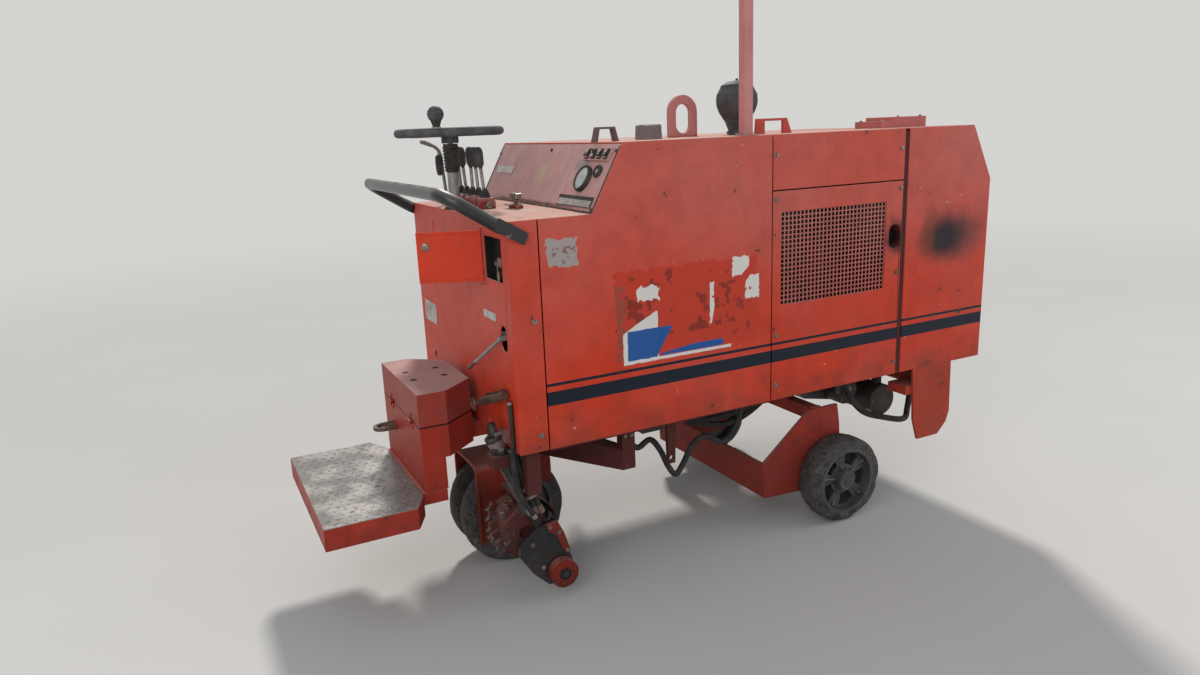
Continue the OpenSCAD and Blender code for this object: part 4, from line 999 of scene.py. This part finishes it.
def makeConsole():
    block, boots, steel, grips, dark, lever = (bmesh.new() for _ in range(6))
    middle, plate, shaft, foot = (console[key] for key in ("block", "plate", "shaft", "boot"))
    for k, y in enumerate(console["levers"]):
        top = foot + 4 * (k % 2)
        addBox(block, machine, (middle - 26, y - 27, shaft + 12), (middle + 26, y + 27, top))
        addLathe(boots, onTop(middle, y, foot), [
            (19, 0), (20, 4), (15, 8), (17, 12), (12, 16), (14, 20), (9, 25), (7.5, 32)], 20)
        for dx in (-19, 19):
            addBolt(steel, onTop(middle + dx, y + 20, foot + 2), 4.2, k)
    for y in console["ends"]:
        addLathe(steel, onSide(middle, y, shaft), [(13, -6), (13, 5), (10, 8), (7, 8), (7, 3)], 6)
    # the holes are black discs: painted shade
    for x, y, r in console["holes"]:
        addDisc(dark, onTop(x, y, plate + 0.2), r, 20)
    x, y = console["latch"]
    addBox(steel, machine, (x - 22, y + 8, shaft), (x + 26, y + 56, shaft + 4))
    x, y = x + console["latchPin"][0], y + console["latchPin"][1]
    addTube(steel, machine, [(x, y, plate), (x, y, plate + 46)], 6.5, 16)
    addLathe(steel, onTop(x, y, plate + 28), [
        (11, 0), (12, 3), (11, 6), (12, 9), (11, 12), (12, 15), (11, 17)], 18)
    addTube(lever, machine, smoothPath(bentLever["rod"], 6), 6.2, 12)
    addTube(lever, machine, smoothPath(bentLever["grip"], 4), bentLever["gripRadii"], 16)
    addTube(lever, machine, smoothPath(bentLever["link"], 4), 3, 8)
    addLathe(grips, onTop(*bentLever["spareGrip"]), [
        (4, 0), (9, 3), (12, 20), (13.5, 52), (12.5, 68), (8, 76), (0, 77)], 20)
    makePiece("bentLever", lever, "dustySteel", "chassis")
    makePiece("valveSections", block, "valveRed", "chassis", bevel=2.5)
    makePiece("leverBoots", boots, "gripPlastic", "chassis")
    makePiece("consoleSteel", steel, "boltSteel", "chassis", bevel=0.6)
    makePiece("spareGrips", grips, "gripPlastic", "chassis", 60)
    makePiece("consoleHoleShades", dark, "paintedShadeBlack", "chassis")


makeConsole()

# Steering wheel: knob, hub nut and spoke bolts; the column's collar and bellows
steering = {"column": (34, 70), "consoleTop": 1326, "spokes": (90, 210, 330), "spokeTop": 1586,
            "hubTop": 1589, "rimTop": 1592, "knob": 239, "reach": 175, "ribs": 8}


def makeSteering():
    wheel, nut, boot = bmesh.new(), bmesh.new(), bmesh.new()
    x, y = steering["column"]
    a = math.radians(steering["knob"])
    knob = onTop(x + steering["reach"] * math.cos(a), y + steering["reach"] * math.sin(a),
                 steering["rimTop"])
    addLathe(wheel, knob, [(10, 8), (13, 14), (12, 19), (13.5, 24), (18, 38), (24, 48), (27.4, 58),
                           (25, 69), (17, 79), (7, 84.5), (0, 85)], 28)
    addLathe(nut, onTop(x, y, steering["hubTop"]), [
        (24, 0), (24, 3), (15, 4), (15, 12), (12, 14), (0, 14.5)], 6)
    addLathe(nut, knob, [(16, 12), (16, 17), (9, 18)], 20)
    for angle in steering["spokes"]:
        b = math.radians(angle)
        for reach in (52, 128):
            addBolt(nut, onTop(x + reach * math.cos(b), y + reach * math.sin(b),
                               steering["spokeTop"]), 3.6, b)
    profile = [(20.5, 128), (22.2, 132)]
    for k in range(steering["ribs"]):
        inner = 21.5 + (11 * k + 11) / 96 * 4 + 0.6
        profile += [(inner + 4.4, 136 + 11 * k), (inner, 141 + 11 * k)]
    column = onTop(x, y, steering["consoleTop"])
    addLathe(boot, column, profile + [(26, 225)], 28)
    addLathe(boot, column, [(38, 0), (38, 6), (30, 12), (23, 26), (20.5, 30)], 28)
    makePiece("knobBulb", wheel, "gripPlastic", "hand_wheel", 60)
    makePiece("wheelNuts", nut, "boltSteel", "hand_wheel")
    makePiece("columnBellows", boot, "gripPlastic", "chassis", 60)


makeSteering()
print("controls made")

# Rear face: lock and key deep enough in their recess for the door to close, and blank plates
rear = {
    "deep": 36, "lockFace": 27, "lock": (-405, 1190), "opening": (-452, -301, 1132, 1269),
    "keyRing": 12, "discs": [(251, 1254, 24), (368, 729, 16)],
    "plates": [(380, 902, 77, 41, 1.6), (-312, 1010, 55, 13, 1.4)], "plateScrews": (68, 34),
}


def makeRearFace():
    tin, steel, dark = bmesh.new(), bmesh.new(), bmesh.new()
    for y, z, wide, high, thick in rear["plates"]:
        addBox(tin, onRear(-0.2, y, z), (-wide, -high, 0), (wide, high, thick))
    y, z = rear["plates"][0][:2]
    wide, high = rear["plateScrews"]
    for dy in (-wide, wide):
        for dz in (-high, high):
            addLathe(steel, onRear(-1.6, y + dy, z + dz), [(3.4, 0), (3, 1.6), (0, 2.2)], 12)
    deep, lock = rear["deep"], rear["lockFace"]
    right, left, low, high = rear["opening"]
    # black lining of the door's recess: painted shade
    addBox(dark, machine, (deep - 6, right - 3, low - 3), (deep, left + 3, high + 3))
    for z in (low - 3, high):
        addBox(dark, machine, (4, right - 3, z), (deep, left + 3, z + 3))
    for y in (right - 3, left):
        addBox(dark, machine, (4, y, low), (deep, y + 3, high))
    y, z = rear["lock"]
    addBox(steel, machine, (-3, right, z - 6), (6, right + 28, z + 20))
    addLathe(steel, onRear(lock, y, z), [(15, 0), (15, 9), (12, 12), (5, 12), (5, 9)], 24)
    addTube(steel, machine, [(lock - 12, y, z), (lock - 28, y, z)], 2.2, 8)
    addBox(steel, machine, (lock - 31, y - 2, z - 7), (lock - 25, y + 2, z + 8))
    turns = [math.tau * k / 18 for k in range(19)]
    ring = rear["keyRing"]
    addTube(steel, machine, [(lock - 24 + 3.6 * math.sin(a), y + ring * math.sin(a),
                              z - 14 + ring * math.cos(a)) for a in turns], 1.1, 6)
    addPlate(steel, onRear(lock - 23, y - 3, z - 26), [
        (-9, 0), (9, 0), (11, -22), (5, -34), (-5, -34), (-11, -22)], 0, 1.6)
    # black discs for holes in the rear face: painted shade
    for y, z, r in rear["discs"]:
        addDisc(dark, onRear(4.6, y, z), r)
    makePiece("blankRearPlates", tin, "paleTin", "chassis", bevel=0.4)
    makePiece("lockAndKey", steel, "boltSteel", "chassis", bevel=0.5)
    makePiece("openingShade", dark, "paintedShadeBlack", "chassis")


makeRearFace()

# The exhaust outlet's black bottom, soot and painted shade, and painted shade strips in the recesses
# ahead of the grille panels
shadeParts = {"outlet": (1582, 1138, 27, 17), "bottom": 468, "strips": (1619, 1641, 592, 1530)}


def makeShadeParts():
    bottom, strips = bmesh.new(), bmesh.new()
    x, z, r, half = shadeParts["outlet"]
    turns = [math.tau * k / 32 for k in range(32)]
    oval = [(x + r * math.cos(a), z + r * math.sin(a)
             + math.copysign(half, math.sin(a + math.tau / 64))) for a in turns]
    addPlate(bottom, frameOf((0, -shadeParts["bottom"], 0)), oval, 0, 2)
    rearX, frontX, low, high = shadeParts["strips"]
    addBox(strips, machine, (rearX, -502.4, low), (frontX, -501.3, high))
    addBox(strips, machine, (rearX, 501.3, low), (frontX, 502.4, high))
    makePiece("outletBottom", bottom, "paintedShadeBlack", "chassis")
    makePiece("recessShadeStrips", strips, "recessShade", "chassis")


makeShadeParts()

# The door's own lock disc and stiffening beads on both faces, in the door's open pose
door = {"hinge": (-7, -293), "open": -117, "lock": (178, 1236), "beads": (1128, 1276),
        "beadFrom": 12, "beadLong": 186}


def makeDoor():
    turn = math.radians(door["open"])
    out = Vector((math.cos(turn), math.sin(turn), 0))
    along = Vector((math.sin(turn), -math.cos(turn), 0))
    steel, bead = bmesh.new(), bmesh.new()
    reach, height = door["lock"]
    for side in (1, -1):
        place = Vector((*door["hinge"], height)) + along * reach + out * 1.6 * side
        addLathe(steel, frameOf(place, along * -side), [
            (13, 0), (13, 2.5), (10, 4), (4, 4), (4, 3)], 24)
        for z in door["beads"]:
            start = Vector((*door["hinge"], z)) + along * door["beadFrom"] + out * 1.5 * side
            addTube(bead, machine, [start, start + along * door["beadLong"]], 1.8, 8)
    makePiece("doorLock", steel, "boltSteel", "switch_door")
    makePiece("doorBeads", bead, "brightRed", "switch_door")


makeDoor()
print("rear face made")


# Hoses: smooth rubber over the solids' own routes, with crimped ends and clamps
def dropTo(x, y):
    return [(x, y, 583.5), (x, y, 568), (x, y, 550)]


def riseTo(x, y):
    return dropTo(x, y)[::-1]


# Radius and points of each route
routes = [
    (11, dropTo(464, -380) + [(472, -380, 490), (500, -380, 466), (549, -380, 486), (590, -380, 437),
     (623, -380, 367), (656, -380, 328), (692, -380, 368), (720, -380, 417), (755, -380, 445),
     (792, -380, 450), (827, -380, 430), (864, -380, 412), (912, -380, 440), (944, -380, 500)]
     + riseTo(955, -380)),
    (13, dropTo(692, -270) + [(740, -272, 508), (880, -274, 470), (1060, -272, 482),
     (1180, -270, 520)] + riseTo(1222, -270)),
    (13, dropTo(1236, -214) + [(1180, -222, 480), (1060, -228, 425), (940, -230, 420),
     (820, -228, 460), (740, -222, 510)] + riseTo(700, -216)),
    (13, dropTo(1480, -362) + [(1510, -360, 480), (1600, -356, 385), (1720, -352, 335),
     (1850, -345, 300), (1900, -320, 335), (1944, -290, 430)] + riseTo(1962, -270)),
] + [(8.5, [(-4 + 18 * i, -431, 583.5), (-4 + 18 * i, -431, 566), (-3 + 18 * i, -431, 548),
            (4 + 19 * i, -431, 500), (22 + 20 * i, -430, 420), (52 + 21 * i, -428, 340)])
     for i in range(3)] + [
    (8, [(-8.3, -462, 756), (-8.3, -465, 720), (-8.3, -468, 650), (-9.5, -466, 600),
         (-9, -460, 548), (3, -454, 490), (13, -451, 430), (36, -452, 378), (58, -454, 336)]),
]
clamps = [0.42, 0.62]   # places along the leg's hose bundle


def makeHoses():
    hose, steel = bmesh.new(), bmesh.new()
    for radius, points in routes:
        path = smoothPath(points)
        addTube(hose, machine, path, radius, 14)
        for end in (path[:3], path[:-4:-1]):
            addTube(steel, machine, end, radius * 1.16, 14)
    for t in clamps:
        addLathe(steel, frameOf((18 + 62 * t, -418, 505 - 150 * t), (0.93, 0, 0.36), (0, 1, 0)), [
            (30, -6), (32, -6), (32, 6), (30, 6)], 28)
    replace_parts(makePiece("hydraulicHoses", hose, "hoseRubber", "chassis", 70), "hoses")
    makePiece("hoseFittings", steel, "boltSteel", "chassis")


makeHoses()

# Leg: gland and ports on the fixed tube, clevis with its bolts on the foot, roller's face
leg = {
    "top": (-48, -388, 625), "way": (206, 0, -527), "ports": (40, 250), "cheek": -408.3,
    "collars": [(0, 29.5, 14), (268, 29.5, 40), (120, 28.4, 8)],
    "clevis": [(108, 280), (152, 286), (176, 236), (196, 168), (186, 150), (168, 176), (146, 232),
               (120, 252)],
    "bolts": [(124, 268, 8, 417), (158, 240, 7, 417), (184, 168, 7, 417), (60, 214, 8, 408),
              (96, 120, 8, 408)],
    "roller": (158, 98), "rollerFace": 450,
}


def makeLeg():
    tube, ports, steel, red, face, dark = (bmesh.new() for _ in range(6))
    top, way = Vector(leg["top"]), Vector(leg["way"]).normalized()
    across = way.cross(Vector((0, 1, 0)))
    for along, r, h in leg["collars"]:
        addLathe(tube, frameOf(top + way * along, (0, 1, 0), across), [
            (r - 4, 0), (r, 1.5), (r, h - 1.5), (r - 4, h)], 32)
    addLathe(tube, onRear(-46, -372, 640), [(26, -12), (28, -8), (28, 4), (24, 7), (0, 8)], 28)
    for along in leg["ports"]:
        place = top + way * along + Vector((0, -27, 0))
        addLathe(ports, frameOf(place), [(11, -2), (11, 5), (9, 7), (9, 12), (7, 12)], 6)
    addPlate(red, frameOf((0, leg["cheek"], 0)), leg["clevis"], 0, 9)
    for x, z, r, out in leg["bolts"]:
        addBolt(steel, onSide(x, -out, z), r * 0.8, x)
    x, z = leg["roller"]
    addBoltRing(face, (x, -leg["rollerFace"], z), 34, 6, 4, 0.3)
    addLathe(face, onSide(x, -leg["rollerFace"] + 0.2, z), [
        (47, 0), (49, 1.6), (45, 2.4), (24, 0.4)], 40)
    # a black disc in the roller's hole: painted shade
    addLathe(dark, onSide(x, -leg["rollerFace"] - 0.4, z), [
        (21, 0), (21, 1.2), (19, 1.6), (0, 1.6)], 28)
    makePiece("legCollars", tube, "darkSteel", "chassis")
    makePiece("legPorts", ports, "boltSteel", "chassis")
    makePiece("footBolts", steel, "boltSteel", "leg")
    makePiece("footClevis", red, "lowPaint", "leg", bevel=1.2)
    makePiece("rollerFace", face, "rollerPaint", "roller")
    makePiece("rollerHoleShade", dark, "paintedShadeBlack", "roller")


makeLeg()

# Rear wheel's motors with rings of (face, radius, count, size), front hubs with back plates
hubs = {"motorRings": [(122, 55, 8, 5.2), (158, 36, 6, 4.6)], "ports": [104, 136], "cap": 500,
        "backPlate": 438, "spokes": 5, "firstSpoke": 101}


def makeHubs():
    bolted = bmesh.new()
    x, z = tyres["rearAxle"]
    for s in (-1, 1):
        for face, radius, count, size in hubs["motorRings"]:
            addBoltRing(bolted, (x, s * face, z), radius, count, size)
        for port in hubs["ports"]:
            addLathe(bolted, onTop(port, s * 142, z + 76), [(11, -10), (11, -2), (9, 0), (6, 0)], 6)
    makePiece("motorBolts", bolted, "boltSteel", "steer_fork")
    x, z = tyres["frontAxle"]
    for name, s, body in (("hubCapRight", -1, "front_wheel_right"),
                          ("hubCapLeft", 1, "front_wheel_left")):
        hub = bmesh.new()
        addLathe(hub, onSide(x, s * hubs["cap"], z), [
            (24.5, -14), (24.5, -1), (34, -1), (37.5, 0.6), (38, 4), (35, 5.2), (31, 3.2),
            (26, 2.4), (23, 2.4), (8, 3.4), (0, 3.4)], 36)
        addLathe(hub, onSide(x, s * hubs["backPlate"], z), [
            (40.5, -2), (120.5, -2), (120.5, 2), (40.5, 2), (40.5, -2)], 48)
        for k in range(hubs["spokes"]):
            a = math.radians(hubs["firstSpoke"] + 360 / hubs["spokes"] * k)
            addTube(hub, machine, [
                (x + reach * math.cos(a), s * y, z + reach * math.sin(a))
                for reach, y in ((46, 477), (86, 470), (118, 479))], [9, 7.5, 9], 10)
        makePiece(name, hub, "rimIron", body)


makeHubs()

# Drum: a worn tip on each pick, and the block that holds it
drum = {"centre": (58, 240), "from": -342, "long": 118, "picks": 24, "skip": 5, "tip": 115.2,
        "block": 93, "back": 27, "lean": 21}


def makeDrum():
    tips = bmesh.new()
    x, z = drum["centre"]
    count = drum["picks"]
    for i in range(count):
        row = (i * drum["skip"]) % count
        a = -math.tau * i / count
        way = Vector((math.cos(a), 0, math.sin(a)))
        turnWay = Vector((math.sin(a), 0, -math.cos(a)))
        centre = Vector((x, drum["from"] + drum["long"] * row / (count - 1), z))
        tip = centre + way * drum["tip"]
        back = tip - way * drum["back"] + turnWay * drum["lean"]
        addTube(tips, machine, [tip.lerp(back, t) for t in (0.0, 0.12, 0.42, 0.44, 0.9)],
                [1.2, 4.2, 7.6, 10.2, 10.4], 12)
        block, half = centre + way * drum["block"], Vector((0, 11.5, 0))
        addTube(tips, machine, [block - half, block + half], 8, 10)
    makePiece("pickTips", tips, "darkSteel", "drum")


makeDrum()

# Hood top: pre-cleaner ribs and clamp, cap, mast foot, beacon bands, bolts of the front handle
hood = {"top": 1540, "cleaner": (1097, -158), "cleanerRibs": 28, "cap": (651, -250),
        "mast": (905, -470), "beacon": 2100, "beaconRings": 5,
        "handleFeet": [(1721, 1567), (1928, 1582)], "handleSides": (-284, -166)}


def makeHood():
    dark, steel, red, ribs, cap = (bmesh.new() for _ in range(5))
    spot = onTop(*hood["cleaner"], hood["top"])
    addLathe(ribs, spot, [(33.5, 2), (38, 2), (38, 14), (33.5, 14)], 32)
    for k in range(hood["cleanerRibs"]):
        a = math.tau * k / hood["cleanerRibs"]
        addTube(ribs, spot, [(r * math.cos(a), r * math.sin(a), h) for r, h in (
            (48, 55), (66.5, 84), (75.5, 108), (77, 128), (74.5, 150))], 1.4, 5)
    addLathe(ribs, spot, [(60, 176), (62, 178), (60, 182), (38, 193)], 36)
    addTube(ribs, spot, [(0, 0, 198), (0, 0, 206)], 5, 12)
    addLathe(cap, onTop(*hood["cap"], hood["top"]), [
        (0, 48), (30, 48.2), (36, 50.5), (41, 50), (43.5, 47.5), (43.5, 44)], 36)
    x, y = hood["mast"]
    addBox(red, onTop(x, y, hood["top"]), (-29, -29, 0), (29, 29, 3.2))
    for u in (-22, 22):
        for v in (-22, 22):
            addBolt(steel, onTop(x + u, y + v, hood["top"] + 3), 4.4, u)
    addLathe(dark, onTop(x, y, hood["beacon"]), [
        (47.2, 0), (47.6, 8), (47.2, 16), (45.5, 16)], 32)
    for k in range(hood["beaconRings"]):
        addLathe(dark, onTop(x, y, hood["beacon"] + 24 + 15 * k), [(42.8, 0), (44, 2), (42.8, 4)], 32)
    for x, z in hood["handleFeet"]:
        for y in hood["handleSides"]:
            addBolt(steel, onTop(x, y, z), 4.4, x)
    makePiece("cleanerRibs", ribs, "cleanerPlastic", "engine_lid", 60)
    makePiece("fillerCapTop", cap, "dustySteel", "chassis")
    makePiece("mastFoot", red, "bleachedPaint", "chassis", bevel=0.6)
    makePiece("hoodBolts", steel, "boltSteel", "chassis")
    makePiece("beaconBands", dark, "amberLens", "chassis")


makeHood()

# Radiator core fins behind the front bars, and what shows through the perforated sheets
radiator = {"face": (2010.5, 2016), "half": 338, "fins": 46, "finPitch": 15, "low": 716,
            "high": 1236, "tubes": 18, "tubePitch": 29}
engine = {"cylinders": 5, "first": 1090, "pitch": 92, "face": 232, "cover": (1045, 1545, 1238, 1262),
          "coverHalf": 226}


def makeInside():
    fins, lump = bmesh.new(), bmesh.new()
    near, far = radiator["face"]
    half = radiator["half"]
    for k in range(radiator["fins"]):
        y = -half + radiator["finPitch"] * k
        addBox(fins, machine, (near, y - 1, radiator["low"]), (far, y + 1, radiator["high"]))
    for k in range(radiator["tubes"]):
        z = radiator["low"] + 14 + radiator["tubePitch"] * k
        addTube(fins, machine, [(near + 2.5, -half, z), (near + 2.5, half, z)], 3.2, 6)
    for i in range(engine["cylinders"]):
        x = engine["first"] + engine["pitch"] * i
        for s in (-1, 1):
            y = engine["face"]
            addLathe(lump, onSide(x, s * y, 1130), [
                (34, -3), (34, 10), (30, 14), (12, 15), (12, 22), (0, 23)], 24)
            addTube(lump, machine, [(x, s * (y + 4), 1100), (x - 8, s * (y + 12), 1000),
                                    (x - 8, s * (y + 8), 900)], 9, 8)
    rearX, frontX, low, high = engine["cover"]
    addBox(lump, machine, (rearX, -engine["coverHalf"], low), (frontX, engine["coverHalf"], high))
    makePiece("radiatorFins", fins, "blackPaint", "chassis")
    makePiece("engineDetail", lump, "castIron", "chassis", bevel=1.0)


makeInside()

# Box: weld beads of the towing eye and the step, and black discs of painted shade in the lid's open
# bolt holes
box = {"welds": [((-249, 86, 546), (-249, 150, 546), 3.2), ((-262, -240, 415), (-262, 240, 415), 3.4)],
       "lidTop": 761.1, "holes": [(x, y) for x in (-205, -95) for y in (-55, 55)], "hole": 12}


def makeBox():
    beads, holes = bmesh.new(), bmesh.new()
    for x, y in box["holes"]:
        addDisc(holes, onTop(x, y, box["lidTop"]), box["hole"])
    for start, end, radius in box["welds"]:
        addWeld(beads, start, end, radius)
    makePiece("lidHoleShades", holes, "paintedShadeBlack", "seat_lid")
    makePiece("boxWelds", beads, "lowPaint", "chassis")


makeBox()

# Under the body: the pan's flanges, bolts of the posts and hangers, pump and silencer covers
under = {
    "flange": (110, 990, 577, 583.6), "flangeSides": (470, 500), "postX": (412, 438),
    "postZ": (548, 566), "hangers": (1300, 1336), "pump": (1560, -296, 470),
    "rings": [((1560, -296, 470), 48, 5), ((1745, -320, 400), 56, 4)],
}


def makeUnder():
    rims, steel = bmesh.new(), bmesh.new()
    rearX, frontX, low, high = under["flange"]
    inner, outer = under["flangeSides"]
    for s in (-1, 1):
        right, left = sorted((s * inner, s * outer))
        addBox(rims, machine, (rearX, right, low), (frontX, left, high))
        for x in under["postX"]:
            for z in under["postZ"]:
                addBolt(steel, onSide(x, s * 445, z), 5, x)
        for x in under["hangers"]:
            addBolt(steel, onSide(x, s * 60, 500), 5, x)
    for centre, radius, size in under["rings"]:
        addBoltRing(steel, centre, radius, 6, size)
    addLathe(steel, onSide(*under["pump"]), [(24, 0), (24, 10), (18, 14), (0, 15)], 28)
    makePiece("panFlanges", rims, "underbodyShadePaint", "chassis", bevel=1.0)
    makePiece("underBolts", steel, "boltSteel", "chassis")


makeUnder()
print("dressing made")

# Softened edges on the solids, in millimetres, so that the sheet metal's edges catch the light
softEdges = {
    0.4: ["box_lid", "seat_box"],
    1.6: ["rear_shell", "side_panel_right", "side_panel_left", "hood_top", "front_cowl", "hood_lid",
          "grille_panel_right", "grille_panel_left", "step", "front_skirts", "instrument_panel",
          "key_door"],
    2.4: ["front_frame", "rear_frame", "rear_fork", "drum_hood", "lifting_eye", "hood_fittings",
          "tow_eye", "control_levers", "leg_foot", "mast"],
}
for width, names in softEdges.items():
    for name in names:
        joined = nodes[name].modifiers.new("joined", "WELD")
        joined.merge_threshold = 0.00005
        edge = nodes[name].modifiers.new("edges", "BEVEL")
        edge.width = width / 1000
        edge.segments = 2
        edge.limit_method = "ANGLE"
        edge.angle_limit = math.radians(50)
        flat = nodes[name].modifiers.new("flatFaces", "WEIGHTED_NORMAL")
        flat.keep_sharp = True
print("edges softened")

# The camera that took the photograph: place, angles in degrees and focal length in pixels
view = {"place": (-902, -2875, 1585), "yaw": 26.886, "pitch": 13.879, "roll": -2.317,
        "focal": 847.12, "pictureWidth": 1200, "sensor": 36.0}


def makeCamera():
    yaw, pitch, roll = (math.radians(view[k]) for k in ("yaw", "pitch", "roll"))
    ahead = Vector((math.sin(yaw) * math.cos(pitch), math.cos(yaw) * math.cos(pitch),
                    -math.sin(pitch)))
    right = Vector((math.cos(yaw), -math.sin(yaw), 0))
    over = right.cross(ahead)
    tilted = math.cos(roll) * right + math.sin(roll) * over
    over = math.cos(roll) * over - math.sin(roll) * right
    camera = bpy.data.objects.new("camera", bpy.data.cameras.new("camera"))
    bpy.context.scene.collection.objects.link(camera)
    camera.matrix_world = Matrix.Translation(at(*view["place"])) @ Matrix((
        tilted, over, -ahead)).transposed().to_4x4()
    camera.data.sensor_width = view["sensor"]
    camera.data.lens = view["focal"] / view["pictureWidth"] * view["sensor"]
    camera.data.clip_end = 100
    bpy.context.scene.camera = camera


makeCamera()

# The floor fades into the backdrop with distance, for what the camera, gloss and glass see
stage = {
    "backdrop": (0.66, 0.655, 0.64), "fadeFrom": 3.5, "fadeTo": 13.0, "floorSize": 80,
    "floorDark": (0.52, 0.51, 0.49), "floorPale": (0.57, 0.56, 0.54), "sky": (0.86, 0.92, 1.0),
    "skyStrength": 0.5,
    "lamps": [
        ("keyLight", "SUN", (1.0, 4.0, 6.0), (47, 0, 155), 2.6, 0.12, (1.0, 0.96, 0.9)),
        ("fillLight", "AREA", (-4.8, -5.0, 3.6), (62, 0, -44), 165.0, 5.0, (1.0, 0.98, 0.95)),
        ("sideLight", "AREA", (5.5, -3.5, 3.0), (66, 0, 58), 70.0, 4.0, (0.95, 0.98, 1.0)),
    ],
}


def seenDirectly(tree):
    path = addNode(tree, "ShaderNodeLightPath").outputs
    return calc(tree, "MAXIMUM", path["Is Camera Ray"], calc(
        tree, "MAXIMUM", path["Is Glossy Ray"], path["Is Transmission Ray"]))


def mixShaders(tree, amount, a, b):
    return addNode(tree, "ShaderNodeMixShader", {
        0: amount, 1: a.outputs[0], 2: b.outputs[0]})


def makeFloor():
    bpy.ops.mesh.primitive_plane_add(size=stage["floorSize"], location=(0, 0, -0.001))
    floor = bpy.context.object
    floor.name = "studioFloor"
    tree = newMaterial("floorGrey")
    place = position(tree)
    tone = blend(tree, pattern(tree, place, 0.8, 3.0), stage["floorDark"], stage["floorPale"])
    surface(tree, tone, 0.95, **{"Specular IOR Level": 0.1})
    away = vectorCalc(tree, "LENGTH", place)["Value"]
    far = times(tree, ramp(tree, away, stage["fadeFrom"], stage["fadeTo"]), seenDirectly(tree))
    glow = addNode(tree, "ShaderNodeEmission", {"Color": stage["backdrop"], "Strength": 1.0})
    faded = mixShaders(tree, far, tree.nodes["Principled BSDF"], glow)
    below = times(tree, addNode(tree, "ShaderNodeNewGeometry").outputs["Backfacing"],
                  seenDirectly(tree))
    whole = mixShaders(tree, below, faded, addNode(tree, "ShaderNodeBsdfTransparent"))
    tree.links.new(whole.outputs[0], tree.nodes["Material Output"].inputs["Surface"])
    floor.data.materials.append(bpy.data.materials["floorGrey"])


def makeLight():
    world = bpy.data.worlds.new("studio")
    bpy.context.scene.world = world
    world.use_nodes = True
    tree = world.node_tree
    sky = tree.nodes["Background"]
    feed(tree, sky.inputs["Color"], stage["sky"])
    feed(tree, sky.inputs["Strength"], stage["skyStrength"])
    backdrop = addNode(tree, "ShaderNodeBackground", {
        "Color": stage["backdrop"], "Strength": 1.0})
    mixed = mixShaders(tree, seenDirectly(tree), sky, backdrop)
    tree.links.new(mixed.outputs[0], tree.nodes["World Output"].inputs["Surface"])
    for title, kind, place, turn, power, size, tint in stage["lamps"]:
        data = bpy.data.lights.new(title, kind)
        data.energy = power
        data.color = tint
        if kind == "SUN":
            data.angle = size
        else:
            data.size = size
        lamp = bpy.data.objects.new(title, data)
        lamp.location = place
        lamp.rotation_euler = [math.radians(v) for v in turn]
        bpy.context.scene.collection.objects.link(lamp)


makeFloor()
makeLight()
bpy.context.scene.view_settings.view_transform = "Standard"
print("stage set")
